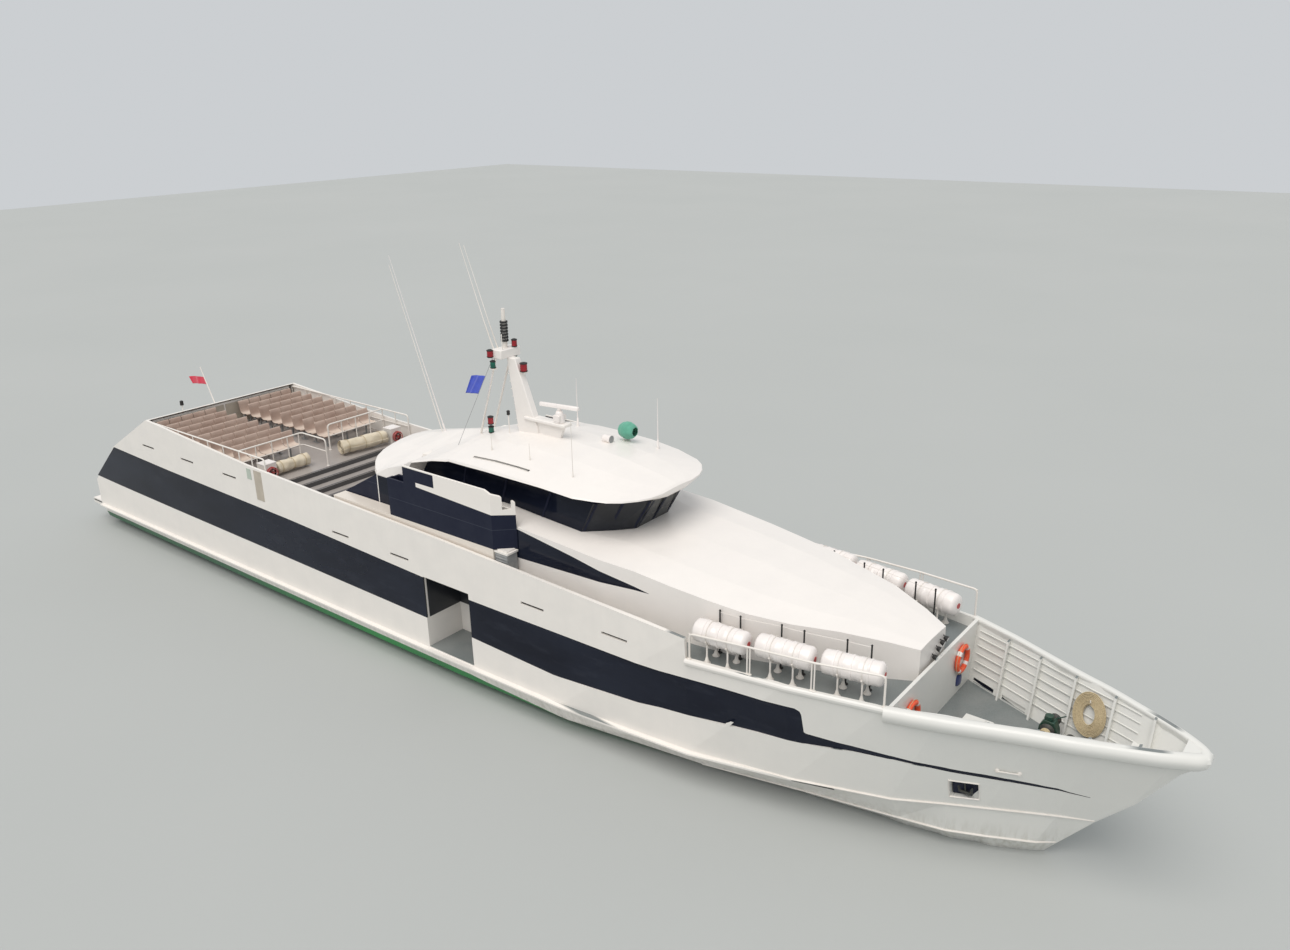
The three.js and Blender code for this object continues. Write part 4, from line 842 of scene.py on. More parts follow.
# Flags
POLE = Sizes(foot=(-14.655, 0, 4.815), tip=(-15.35, 0, 6.25))
HALYARD = Sizes(foot=(0.1, -1.18, 6.2), tip=(1.06, -0.37, 8.95))
STERN_FLAG = Sizes(low=5.61, high=5.88, length=1.09, droop=0.12, stand_off=0.024)
HOUSE_FLAG = Sizes(low=7.92, high=8.43, length=0.55, droop=0.06, stand_off=0.012)


def on_line(low, high, z):
    t = (z - low[2]) / (high[2] - low[2])
    return Vector(low) + (Vector(high) - Vector(low)) * t


def flag(name, node, finish, line, size):
    """A flag streaming aft in soft waves, sewn to its line."""
    rows = []
    steps, across = 30, 12
    low, high = size.low, size.high
    for t in shares(steps):
        row = []
        for u in shares(across):
            edge = on_line(line.foot, line.tip, low + (high - low) * u)
            wave = 0.028 * t ** 0.7 * math.sin(9.5 * t + 1.1 * u) + 0.010 * t * math.sin(21 * t + 2 * u)
            aft = size.stand_off + size.length * t * 0.96
            row.append(edge + Vector((-aft, wave, -size.droop * t ** 1.6)))
        rows.append(row)
    shape = Shape()
    shape.grid(rows)
    cloth = shape.piece(name, finish, finish, node=node, smooth=80, thick=0.002)


def flags():
    pole = Shape()
    foot, tip = Vector(POLE.foot), Vector(POLE.tip)
    along = (tip - foot).normalized()
    pole.tube([foot + along * 0.03, foot.lerp(tip, 0.5), tip], [0.025, 0.022, 0.017], 12)
    pole.ball(tip - along * 0.012, 0.022)
    pole.piece("stern_pole", "white_rail", "white_rail", node="stern_flagpole")
    flag("stern_cloth", "stern_flag", "red_cloth", POLE, STERN_FLAG)
    flag("house_cloth", "house_flag", "blue_cloth", HALYARD, HOUSE_FLAG)


# Life rafts on the side decks: x, half width and yaw in degrees
RAFTS = ((10.19, 2.56, -3), (11.7, 2.31, -6), (13.2, 2.04, -9))
RAFT = Sizes(half=0.69, radius=0.278, z=4.225, band=0.004)
CRADLE = Sizes(along=0.27, across=0.2, drop=0.215, saddle=0.014, bar=0.022)
RAFT_POST = Sizes(inboard=0.36, head=4.64, radius=0.02, wire=0.04)
CANISTER = (
    (0.05, -1.0), (0.5, -0.995), (0.78, -0.965), (0.94, -0.91), (0.985, -0.85), (0.985, -0.60), (1.03, -0.59),
    (1.03, -0.53), (0.985, -0.52), (0.975, -0.27), (1.0, -0.25), (1.0, -0.23), (0.975, -0.21), (0.98, -0.035),
    (1.035, -0.03), (1.035, 0.03), (0.98, 0.035), (0.975, 0.21), (1.0, 0.23), (1.0, 0.25), (0.975, 0.27),
    (0.985, 0.52), (1.03, 0.53), (1.03, 0.59), (0.985, 0.60), (0.985, 0.85), (0.94, 0.91), (0.78, 0.965),
    (0.5, 0.995), (0.05, 1.0),
)


def raft_shell(shape, centre, along):
    """A canister turned about its length, with shallow dents so that it isn't perfectly round."""
    turn = UP.rotation_difference(along).to_matrix()
    rings = []
    for radius, reach in CANISTER:
        ring = []
        for t in turns(40):
            dent = 0.006 * math.sin(4 * t + 9 * reach) + 0.004 * math.sin(7 * t - 13 * reach)
            r = RAFT.radius * radius + (dent if radius > 0.9 else 0)
            ring.append(turn @ Vector((r * math.cos(t), r * math.sin(t), RAFT.half * reach)) + centre)
        rings.append(ring)
    shape.rings(rings)


def raft_cradle(shape, middle, outward, deck):
    """Half of a raft's cradle: a saddle on two legs with flared feet."""
    reach = RAFT.radius + CRADLE.saddle
    saddle = circle(middle, outward * reach, UP * reach, 11, math.radians(200), math.radians(14))
    shape.tube(saddle, CRADLE.bar, 8)
    for share in (-1, 1):
        foot = at_height(middle + outward * (share * CRADLE.across), deck)
        shape.bar(foot, at_height(foot, RAFT.z - CRADLE.drop), CRADLE.bar, 10)
        shape.lathe([(0.09, 0), (0.09, 0.012), (0.05, 0.06), (0.026, 0.16)], foot, sides=14)


def life_rafts(name, side):
    """Three canisters on cradles, with two bands each, and a row of dark posts inboard with a wire."""
    shells, bands, cradles, posts = Shape(), Shape(), Shape(), Shape()
    wire = []
    deck = UPPER_DECK + 0.003
    for x, half, yaw in RAFTS:
        turn = math.radians(yaw) * side
        along = Vector((math.cos(turn), math.sin(turn), 0))
        outward = Vector((-along.y, along.x, 0)) * side
        centre = Vector((x, side * half, RAFT.z))
        raft_shell(shells, centre, along)
        for end in (-1, 1):
            middle = centre + along * (end * CRADLE.along)
            reach = RAFT.radius + RAFT.band
            bands.tube(circle(middle, outward * reach, UP * reach, 32), 0.010, 6, closed=True)
            tip = centre + along * (end * (RAFT.half + 0.001))
            bands.lathe([(0.07, 0), (0.07, 0.006), (0.02, 0.008)], tip, along * end, 16, 1)
            raft_cradle(cradles, middle, outward, deck)
            foot = at_height(middle - outward * RAFT_POST.inboard, deck)
            head = at_height(foot, RAFT_POST.head)
            posts.bar(foot, head, RAFT_POST.radius)
            posts.lathe([(0.06, 0), (0.06, 0.012), (0.022, 0.03)], foot, sides=12)
            posts.ball(head, 0.026)
            wire.append(head - UP * RAFT_POST.wire)
    posts.tube(sorted(wire, key=lambda point: point.x), 0.006, 6, 1)
    shells.piece(f"raft_canisters_{name}", "white_plastic", "white_plastic", node=f"life_rafts_{name}")
    bands.piece(f"raft_bands_{name}", ["white_rail", "red_paint"], "white_plastic")
    cradles.piece(f"raft_cradles_{name}", "white_rail", "white_rail")
    posts.piece(f"raft_posts_{name}", ["black_rubber", "white_rail"], "dark_steel")


# Rails on the coaming: x, foot and top
SIDE_RAIL = ((9.56, 3.604, 4.25), (11.086, 3.689, 4.373), (12.602, 3.756, 4.443), (14.12, 3.798, 4.523))


def side_rails(name, side):
    """A rail with rounded ends on the coaming. The two posts between its ends are double."""
    shape = Shape()
    feet = [Vector((x, side * hull_half(x, foot, WALL / 2), foot + 0.012)) for x, foot, _ in SIDE_RAIL]
    tops = [at_height(foot, top) for foot, (_, _, top) in zip(feet, SIDE_RAIL)]
    shape.tube(bend([feet[0], *tops, feet[-1]], 0.1), 0.025, 12)
    for i, (foot, top) in enumerate(zip(feet, tops)):
        for shift in (0.0,) if i in (0, 3) else (-0.035, 0.035):
            place = AHEAD * shift
            shape.bar(foot + place, top + place, 0.018)
            shape.lathe([(0.045, 0), (0.045, 0.01), (0.022, 0.02)], foot + place, sides=12)
    shape.piece(f"side_rails_{name}", "white_rail", "white_rail", node=f"side_rail_{name}")


# Life rings on the bulkhead: x, distance from the centreline and height
RINGS = {"starboard": (14.3203, 1.42, 3.14), "port": (14.3203, 1.31, 3.25)}
RING = Sizes(radius=0.3, foam=0.0585, band=0.0598, line=0.362, slack=0.016)


def life_rings(name, side):
    """An orange ring with four white bands, a grab line and two brackets."""
    x, y, z = RINGS[name]
    centre = Vector((x, side * y, z))
    ring, bands = Shape(), Shape()
    reach = RING.radius
    ring.tube(circle(centre, PORT * reach, UP * reach, 48), RING.foam, 16, closed=True)
    for k in range(4):
        middle = math.radians(45 + 90 * k)
        start, step = middle - math.radians(9), math.radians(3)
        bands.tube(circle(centre, PORT * reach, UP * reach, 7, start, step), RING.band, 16)
        line = []
        for share in shares(12):
            t = middle + math.radians(90 * share)
            away = RING.line + RING.slack * math.sin(math.pi * share)
            line.append(centre + Vector((0.012, away * math.cos(t), away * math.sin(t))))
        bands.tube(line, 0.006, 6, 1)
    for z in (-0.32, 0.0):
        low = centre + Vector((-0.06, -0.03, z - 0.02))
        bands.block(low, low + Vector((0.05, 0.06, 0.04)), 2)
    ring.piece(f"life_ring_body_{name}", "orange_ring", "orange_ring", node=f"life_ring_{name}")
    bands.piece(f"life_ring_bands_{name}", ["white_plastic", "rope", "grey_plastic"], "white_plastic")


# height under the ring's centre, half width and half depth
BAG = ((-0.70, 0.10, 0.035), (-0.69, 0.125, 0.05), (-0.62, 0.135, 0.062), (-0.50, 0.13, 0.06),
       (-0.44, 0.11, 0.045), (-0.42, 0.07, 0.02))


def float_line_bag():
    """A small blue bag with the floating line, hung under the port ring."""
    x, y, z = RINGS["port"]
    x -= 0.052
    bag = Shape()
    bag.rings([
        [
            (x + depth * math.cos(t), y + width * math.sin(t) + 0.004 * math.sin(5 * t), z + height)
            for t in turns(20)
        ]
        for height, width, depth in BAG
    ])
    bag.bar((x, y, z - 0.43), (x, y, z - 0.33), 0.008, 8, 1)
    item = bag.piece("float_line_bag", ["blue_bag", "rope"], "white_plastic", smooth=60)


# Foredeck gear
WINDLASS = Sizes(x=16.65, y=0.45, shaft=FOREDECK + 0.43, half=0.11)
# half length of the gearbox at its base, and its upper corners: forward of the shaft and over it
GEARBOX_FOOT = 0.24
GEARBOX = ((0.20, 0), (0.12, 0.19), (-0.10, 0.21), (-0.19, 0.05))
DRUM = (
    (0.03, -0.14), (0.15, -0.14), (0.16, -0.13), (0.15, -0.11), (0.10, -0.08), (0.085, -0.03), (0.085, 0.05),
    (0.10, 0.10), (0.13, 0.13), (0.13, 0.14), (0.03, 0.14),
)


def windlass():
    """A gearbox on a bolted base with a brake lever, a drum on each end of its shaft and turns of rope."""
    x, y, z = WINDLASS.x, WINDLASS.y, WINDLASS.shaft
    deck = FOREDECK + 0.003
    base, near = deck + 0.05, y - WINDLASS.half
    body = Shape()
    body.block((x - 0.3, y - 0.26, deck), (x + 0.3, y + 0.26, base))
    foot = [(x - GEARBOX_FOOT, near, base), (x + GEARBOX_FOOT, near, base)]
    body.prism([*foot, *((x + ahead, near, z + up) for ahead, up in GEARBOX)], PORT * (2 * WINDLASS.half))
    body.lathe([(0.02, 0), (0.10, 0), (0.105, 0.02), (0.09, 0.10), (0.03, 0.115)], (x - 0.02, y, z + 0.20))
    for bolt_x in (x - 0.24, x + 0.24):
        for bolt_y in (y - 0.2, y + 0.2):
            body.lathe([(0.02, 0), (0.02, 0.02), (0.005, 0.022)], (bolt_x, bolt_y, base), sides=6)
    body.bar((x + 0.05, y + 0.12, z + 0.16), (x + 0.28, y + 0.16, z + 0.30), 0.014)
    body.piece("windlass_body", "green_gear", "green_gear", node="windlass", bevel=0.018)
    drums = Shape()
    drums.bar((x, y - 0.42, z), (x, y + 0.42, z), 0.035, 14)
    for sign in (-1, 1):
        drums.lathe(DRUM, (x, y + sign * 0.275, z), (0, sign, 0), 24)
    drums.piece("windlass_drums", "dark_steel", "dark_steel")
    rope_turns = Shape()
    for k in range(7):
        reach = 0.098 + 0.004 * math.sin(2.3 * k)
        centre = (x, y - 0.245 - 0.021 * k, z)
        rope_turns.tube(circle(centre, AHEAD * reach, UP * reach + PORT * 0.003, 28), 0.0115, 8, closed=True)
    rope_turns.piece("windlass_rope_turns", "rope", "rope")


BOLLARD = Sizes(x=17.28, y=0.43, apart=0.17, base=(0.3, 0.11), pin=0.25)
BOLLARD_POST = ((0.095, 0.0), (0.075, 0.04), (0.07, 0.10), (0.07, 0.30), (0.092, 0.335), (0.092, 0.36),
                (0.07, 0.378), (0.02, 0.38))


def bollards(name, side):
    """A pair of posts on one base, each with a cross pin."""
    x, y, deck = BOLLARD.x, side * BOLLARD.y, FOREDECK + 0.003
    half_x, half_y = BOLLARD.base
    shape = Shape()
    shape.block((x - half_x, y - half_y, deck), (x + half_x, y + half_y, deck + 0.025))
    for post_x in (x - BOLLARD.apart, x + BOLLARD.apart):
        shape.lathe(BOLLARD_POST, (post_x, y, deck + 0.024), sides=24)
        pin = Vector((post_x, y, deck + BOLLARD.pin))
        shape.bar(pin - PORT * half_y, pin + PORT * half_y, 0.016)
    shape.piece(f"bollard_pair_{name}", "dark_steel", "dark_steel", node=f"bollards_{name}", bevel=0.006)


COIL = Sizes(x=17.33, z=3.13, turns=18, rope=0.026, inner=0.165, lane=0.0275, layer=0.028,
             wobble=0.008, sag=0.07, steps=28)


def bulwark_frame(x, z):
    """A point on the inside of the port bulwark, with the directions ahead, up and inward there."""
    def inside(x, z):
        return Vector((x, hull_half(x, z, WALL), z))

    wall = inside(x, z)
    ahead = (inside(x + 0.2, z) - wall).normalized()
    up = (inside(x, z + 0.2) - wall).normalized()
    inward = ahead.cross(up).normalized()
    return wall, ahead, up, inward * (-1 if inward.y > 0 else 1)


def coil_path(centre, ahead, up, inward):
    """Two layers of turns: from the eye outwards, then back over the first layer."""
    random.seed(4)
    wobble = [random.uniform(-0.5, 0.5) for _ in range(COIL.turns + 1)]
    half_way = COIL.turns / 2
    path = []
    for k in range(COIL.turns * COIL.steps + 1):
        turn = k / COIL.steps
        index = min(int(turn), COIL.turns - 1)
        t = 2 * math.pi * turn + math.pi / 2
        lane = turn if turn < half_way else half_way - 0.4 - (turn - half_way)
        blend = turn - index
        shift = COIL.wobble * (wobble[index] * (1 - blend) + wobble[index + 1] * blend)
        radius = COIL.inner + COIL.lane * lane + shift
        drop = COIL.sag * (1 - math.sin(t)) / 2
        rise = min(1.0, max(0.0, (turn - half_way + 0.5) / 0.6))
        point = centre + ahead * (radius * 0.95 * math.cos(t)) + up * (radius * 1.1 * math.sin(t) - drop)
        path.append(point + inward * (COIL.layer * rise))
    return path


def rope_coil():
    """A mooring rope in a round coil that hangs from a hook against the port bulwark."""
    wall, ahead, up, inward = bulwark_frame(COIL.x, COIL.z)
    centre = wall + inward * 0.05
    path = coil_path(centre, ahead, up, inward)
    shape, hook = Shape(), Shape()
    shape.tube(path, COIL.rope / 2, 8)
    coil = shape.piece("mooring_rope", "rope", "rope", node="rope_coil")
    top = centre + up * (COIL.inner + 0.06) - inward * 0.049
    hook.tube(bend([top, top + inward * 0.12, top + inward * 0.12 + up * 0.06], 0.04), 0.012, 8)
    hook.piece("rope_hook", "white_rail", "white_rail")


HATCH = Sizes(middle=15.2, plates=((0.31, 0.001, 0.012), (0.26, 0.012, 0.02)), grip_x=15.36, grip=0.05)


def foredeck_hatch():
    """Two stepped plates and two grips on the hatch lid."""
    lid = Shape()
    middle, x, grip = HATCH.middle, HATCH.grip_x, HATCH.grip
    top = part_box("foredeck_hatch")[1][2]
    for half, low, high in HATCH.plates:
        lid.block((middle - half, -half, top + low), (middle + half, half, top + high))
    for y in (-0.2, 0.2):
        ends = ((-grip, 0.02), (-grip, 0.05), (grip, 0.05), (grip, 0.02))
        lid.tube([(x, y + across, top + up) for across, up in ends], 0.007, 8)
    lid.piece("hatch_lid_trim", ["white_paint"], "white_paint", "foredeck_hatch", bevel=0.005)


STRINGERS = Sizes(levels=(2.66, 2.85, 3.04, 3.23, 3.42, 3.58), x=(14.35, 18.35), depth=0.022, steps=24)


def bulwark_stringers(name, side):
    """Thin stringers along the inside of the bow bulwark."""
    aft, fore = STRINGERS.x
    for index, z in enumerate(STRINGERS.levels):
        rings = []
        for share in shares(STRINGERS.steps):
            x = aft + (fore - aft) * share
            root = hull_half(x, z, WALL + 0.001)
            edge = root - STRINGERS.depth
            if edge < 0.05:
                break
            section = ((root + 0.002, -0.016), (edge, -0.012), (edge, 0.012), (root + 0.004, 0.016))
            rings.append([(x, side * y, z + up) for y, up in section])
        shape = Shape()
        shape.rings(rings)
        shape.piece(f"bulwark_stringer_{name}_{index + 1}", "white_paint", "white_paint")


# Wheelhouse roof gear
MAST_LEG = ((1.66, 6.5), (2.38, 6.5), (2.36, 7.1), (2.24, 7.34), (1.64, 8.94), (1.32, 8.94), (1.5, 7.76))
MAST = Sizes(half=0.11, gusset=0.06)
GUSSET = ((2.2, 6.5), (3.0, 6.5), (3.3, 7.265), (2.2, 7.265))
STRUTS = (((1.1, -0.3, 8.94), (0.24, -0.32, 6.42)), ((1.1, 0.3, 8.94), (-0.22, 0.62, 6.24)))
# tapered poles: points, radius at each and sides
POLES = (
    (((1.19, 0, 9.17), (1.19, 0, 10.0), (1.19, 0, 10.27)), (0.068, 0.06, 0.05), 16),
    (((1.06, -0.3, 9.12), (0.7, -0.3, 10.0), (-0.03, -0.3, 11.98)), (0.022, 0.014, 0.007), 8),
    (((1.06, -0.14, 9.12), (0.74, -0.14, 9.9), (-0.03, -0.14, 11.9)), (0.020, 0.013, 0.007), 8),
)
STEP_IRONS = Sizes(first=7.0, pitch=0.21, count=9, half=0.09)


def mast_tower():
    """The mast's leg, platform and radar bracket, with poles, struts, step irons and the halyard."""
    tower = Shape()
    half, gusset = MAST.half, MAST.gusset
    tower.prism([(x, -half, z) for x, z in MAST_LEG], PORT * (2 * half))
    tower.block((1.0, -0.38, 8.93), (1.4, 0.38, 9.18))
    tower.block((1.9, -0.17, 7.262), (3.42, 0.17, 7.349))
    tower.prism([(x, -gusset, z) for x, z in GUSSET], PORT * (2 * gusset))
    tower.piece("mast_tower", "house_paint", "white_paint", node="mast", bevel=0.022)
    poles = Shape()
    for points, radii, sides in POLES:
        poles.tube(points, list(radii), sides)
    for start, end in STRUTS:
        poles.bar(start, end, 0.031, 12)
    side = STEP_IRONS.half
    for k in range(STEP_IRONS.count):
        z = STEP_IRONS.first + STEP_IRONS.pitch * k
        # the leg's aft face leans forward, more above its knee
        x = 1.655 - 0.1 * (z - 6.5) if z < 7.76 else 1.5 - 0.153 * (z - 7.76)
        iron = ((0.03, -side), (-0.06, -side), (-0.06, side), (0.03, side))
        poles.tube(bend([(x + ahead, y, z) for ahead, y in iron], 0.02), 0.008, 8)
    # a thin post with a lamp over the aft part of the roof
    poles.bar((1.45, -0.3, 6.7), (1.45, -0.3, 7.35), 0.016, 10)
    poles.piece("mast_poles", "white_rail", "white_paint")
    line = Shape()
    line.bar(HALYARD.tip, HALYARD.foot, 0.006, 6)
    line.piece("halyard_line", "grey_plastic", "white_paint")


def lamp(shape, place, radius, height, lens):
    """A navigation lamp: base, ribbed lens and cap."""
    shape.lathe([(radius * 0.8, 0), (radius, 0.02), (radius, 0.03)], place)
    ribs = [(radius * (0.86 + 0.06 * (k % 2)), 0.03 + (height - 0.06) * k / 8) for k in range(9)]
    shape.lathe(ribs, place, mark=lens)
    cap = ((radius, -0.03), (radius, -0.01), (radius * 0.5, 0.01), (0.005, 0.012))
    shape.lathe([(edge, height + up) for edge, up in cap], place)


# place of the foot, radius, height and lens: 0 black, 1 red, 2 green
LAMPS = (
    ((1.02, -0.43, 8.955), 0.095, 0.22, 1),
    ((1.35, 0.20, 9.18), 0.085, 0.22, 1),
    ((1.1, -0.42, 8.66), 0.085, 0.22, 2),
    ((1.1, 0.42, 8.66), 0.085, 0.22, 2),
    ((1.86, 0.0, 8.58), 0.11, 0.26, 1),
    ((0.78, -0.36, 6.97), 0.09, 0.24, 1),
    ((0.78, -0.36, 6.72), 0.085, 0.2, 2),
    ((1.45, -0.3, 7.35), 0.05, 0.12, 0),
)


def mast_lamps():
    """The lamps with their brackets, and the dark rings up the pole above the platform."""
    shape = Shape()
    for place, radius, height, lens in LAMPS:
        lamp(shape, place, radius, height, lens)
    shape.bar((1.08, -0.42, 8.955), (1.08, -0.36, 8.955), 0.03, 8, 3)
    for sign in (-1, 1):
        shape.block((1.02, sign * 0.42 - 0.07, 8.64), (1.2, sign * 0.42 + 0.07, 8.665), 3)
        shape.bar((1.16, sign * 0.36, 8.94), (1.16, sign * 0.42, 8.66), 0.014, 8, 3)
    shape.block((1.7, -0.06, 8.555), (1.95, 0.06, 8.585), 3)
    shape.bar((0.78, -0.36, 6.66), (0.78, -0.36, 6.735), 0.06, 12, 3)
    for k in range(7):
        shape.lathe([(0.03, 0), (0.11, 0.0), (0.11, 0.05), (0.03, 0.05)], (1.19, 0, 9.36 + 0.085 * k))
    # a thin post beside the pole
    shape.bar((1.34, -0.26, 9.18), (1.34, -0.26, 9.62), 0.012, 8, 3)
    shape.piece("mast_lamps", ["black_rubber", "red_lens", "green_lens", "white_rail"], "dark_steel")


RADAR = Sizes(x=3.12, z=7.3503, length=1.27, yaw=8, middle=0.457)
GEARBOX_DRUM = ((0.02, 0), (0.15, 0), (0.15, 0.03), (0.132, 0.06), (0.125, 0.2), (0.11, 0.26), (0.088, 0.32),
                (0.088, 0.33), (0.02, 0.33))
# the bar's section, across and over the bracket
BAR_SECTION = ((-0.058, 0.41), (-0.045, 0.402), (0.045, 0.402), (0.058, 0.42), (0.05, 0.49), (0.03, 0.512),
               (-0.03, 0.512), (-0.05, 0.49))
# distance from the bar's end, and size of the section there
BAR_ENDS = ((0, 0.55), (0.008, 0.85), (0.03, 1.0))


def radar():
    """The scanner's gearbox on the mast's bracket, and the bar that turns on it."""
    pedestal, scanner = Shape(), Shape()
    x, z, middle = RADAR.x, RADAR.z, RADAR.middle
    pedestal.lathe(GEARBOX_DRUM, (x, 0, z), sides=32)
    pedestal.block((x - 0.11, -0.15, z + 0.05), (x + 0.11, 0.15, z + 0.22))
    pedestal.piece("radar_gearbox", "white_plastic", "white_plastic", node="radar_pedestal", bevel=0.015)
    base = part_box("radar_scanner")[0][2] - z
    spindle = [(0.02, base + 0.004), (0.055, base + 0.004), (0.06, base + 0.03), (0.05, 0.41), (0.02, 0.41)]
    scanner.lathe(spindle, (x, 0, z))
    turn = Matrix.Rotation(math.radians(RADAR.yaw), 3, "Z")
    half = RADAR.length / 2
    ends = [(inset - half, grow) for inset, grow in BAR_ENDS]
    ends += [(half - inset, grow) for inset, grow in reversed(BAR_ENDS)]
    centre = Vector((x, 0, z))
    scanner.rings([
        [turn @ Vector((reach, a * grow, middle + (b - middle) * grow)) + centre for a, b in BAR_SECTION]
        for reach, grow in ends
    ])
    scanner.piece("radar_bar", "white_plastic", "white_plastic", "radar_scanner", "radar_scanner", smooth=50)


# piece, solid it stands for, foot and tip
WHIPS = (
    ("whip_bridge", "aerial_bridge", (2.42, 1.5, 6.4), (2.42, 1.5, 8.145)),
    ("whip_forward", "aerial_forward", (5.25, 1.6, 6.3), (5.25, 1.6, 7.995)),
    ("whip_aft", "aerial_aft", (-1.68, 0.1, 6.0), (-3.475, 0.0003, 11.34)),
)
# piece, foot, tip and radius
PLAIN_WHIPS = (
    ("whip_aft_second", (-1.62, -0.05, 5.98), (-3.30, -0.16, 11.1), 0.016),
    ("roof_pole_forward", (4.931, -1.543, 6.59), (4.931, -1.543, 8.1), 0.012),
    ("roof_pole_middle", (3.358, -1.465, 6.70), (3.358, -1.465, 7.2), 0.012),
    ("roof_pole_aft", (1.904, -1.434, 6.68), (1.904, -1.434, 7.15), 0.012),
)


def whips():
    """Tapered aerials on moulded feet, and thin poles with small ones."""
    for name, node, foot, tip in WHIPS:
        foot, tip = Vector(foot), Vector(tip)
        share = max(0.0, (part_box(node)[0][2] + 0.01 - foot.z) / (tip.z - foot.z))
        base = foot.lerp(tip, share)
        along = (tip - base).normalized()
        shape = Shape()
        shape.tube([base, base.lerp(tip, 0.35), tip], [0.02, 0.014, 0.006], 10)
        shape.lathe([(0.045, 0), (0.045, 0.02), (0.03, 0.06), (0.03, 0.22), (0.021, 0.24)], base, along, 14)
        shape.piece(name, "white_plastic", "white_plastic", node=node)
    for name, foot, tip, radius in PLAIN_WHIPS:
        foot, tip = Vector(foot), Vector(tip)
        shape = Shape()
        shape.tube([foot, foot.lerp(tip, 0.4), tip], [radius, radius * 0.8, radius * 0.5], 8)
        socket = [(0.035, 0), (0.035, 0.02), (0.02, 0.05), (0.018, 0.14), (0.012, 0.15)]
        shape.lathe(socket, foot, tip - foot, 12)
        shape.piece(name, "white_rail", "white_plastic")


HORN = Sizes(x=4.05, y=0.7, z=6.9)
HORN_DRUM = ((0.02, 0.0), (0.07, 0.004), (0.10, 0.03), (0.112, 0.07), (0.112, 0.24), (0.118, 0.25),
             (0.118, 0.295), (0.104, 0.296), (0.02, 0.296))
SEARCHLIGHT = Sizes(x=4.4, y=1.3, z=7.02, aft=4.185, front=4.695, radius=0.255)
# where the cover's two strings are, as shares of its length
STRINGS = (0.28, 0.74)
# one arm of the fork: distance across, and height over the top of the post
FORK = ((0.0, -0.10), (0.12, -0.06), (0.17, 0.02))


def roof_horn():
    """A drum with a dark mouth, on a post with a round foot."""
    x, y, z = HORN.x, HORN.y, HORN.z
    foot = Vector((x + 0.1, y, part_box("horn")[0][2]))
    horn = Shape()
    horn.lathe(HORN_DRUM, (x, y, z), AHEAD, 28)
    horn.lathe([(0.02, 0), (0.10, 0), (0.10, 0.002), (0.02, 0.002)], (x + 0.2965, y, z), AHEAD, 28, 1)
    horn.bar(foot + UP * 0.01, at_height(foot, z - 0.03), 0.03, 12)
    horn.lathe([(0.09, 0), (0.09, 0.015), (0.04, 0.03)], foot + UP * 0.005)
    horn.piece("horn_drum", ["white_plastic", "grey_plastic"], "white_paint", node="horn")


def light_cover():
    """Rows of points on the cloth over the lamp, drawn in at its two strings."""
    light, rows = SEARCHLIGHT, []
    for t in shares(28):
        x = light.aft + (light.front - light.aft) * t
        swell = (light.radius - 0.012) * math.sin(math.pi * (0.03 + 0.94 * t)) ** 0.3
        swell *= 1 - 0.06 * sum(math.exp(-((t - string) / 0.05) ** 2) for string in STRINGS)
        rows.append([
            (x, light.y + (swell + 0.006 * math.sin(7 * a + 5 * t)) * math.cos(a),
             light.z + (swell + 0.006 * math.sin(6 * a)) * math.sin(a) * 0.99)
            for a in (*turns(32), 2 * math.pi)
        ])
    return rows


def searchlight():
    """A searchlight under a tied cloth cover, in a fork on a round foot."""
    light = SEARCHLIGHT
    cover, stand = Shape(), Shape()
    cover.grid(light_cover())
    cloth = cover.piece("searchlight_cover", "green_cover", "green_cover", node="searchlight", smooth=70,
                        thick=0.003)
    floor = Vector((light.x, light.y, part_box("searchlight")[0][2]))
    foot = at_height(floor, light.z - light.radius + 0.03)
    stand.bar(floor + UP * 0.01, foot, 0.04, 14)
    stand.lathe([(0.11, 0), (0.11, 0.015), (0.05, 0.04)], floor + UP * 0.008)
    for sign in (-1, 1):
        stand.tube(bend([foot + PORT * (sign * across) + UP * up for across, up in FORK], 0.04), 0.018, 10)
    stand.piece("searchlight_stand", "white_rail", "green_cover")


# Fittings on the roof, the deckhouse and the hull
GRILLE = ((1.68, -1.897, 6.608), (2.5, -1.895, 6.649), (3.3, -1.89, 6.645), (3.72, -1.884, 6.629))


def roof_grille():
    """A narrow air intake along the starboard shoulder of the roof."""
    shape = Shape()
    lean = Vector((0, 0.97, 0.235))
    lift = Vector((0, -0.235, 0.97))
    path = [Vector(point) + lift * 0.004 for point in GRILLE]
    for start, end in zip(path, path[1:]):
        corner, far = start - lean * 0.035, end - lean * 0.035
        shape.prism([corner, far, far + lean * 0.07, corner + lean * 0.07], lift * 0.006, 1)
        count = round((end - start).length / 0.05)
        for k in range(count):
            place = start.lerp(end, k / count) + lift * 0.008
            shape.bar(place - lean * 0.034, place + lean * 0.034, 0.005, 6)
    for edge in (-0.038, 0.038):
        shape.tube([point + lean * edge + lift * 0.006 for point in path], 0.007, 8)
    shape.piece("roof_grille", ["white_rail", "black_rubber"], "white_paint")


# Wheelhouse windows: plan corners at the sill and at the head
SILL, HEAD = 5.24, 6.15
CORNERS = (((-0.8, 1.7), (-0.76, 1.65)), ((5.268, 1.678), (5.69, 1.63)), ((6.237, 0.672), (6.75, 0.615)))


def window_bar(shape, low, high, out, width, mark=0):
    """A flat dark strip over the glass, from the sill to the head."""
    low, high = Vector((*low, SILL + 0.02)), Vector((*high, HEAD - 0.07))
    out = Vector((*out, 0)).normalized()
    across = (high - low).normalized().cross(out)
    face = [low - across * width, low + across * width, high + across * width, high - across * width]
    shape.prism([point + out * 0.0265 for point in face], out * 0.010, mark)


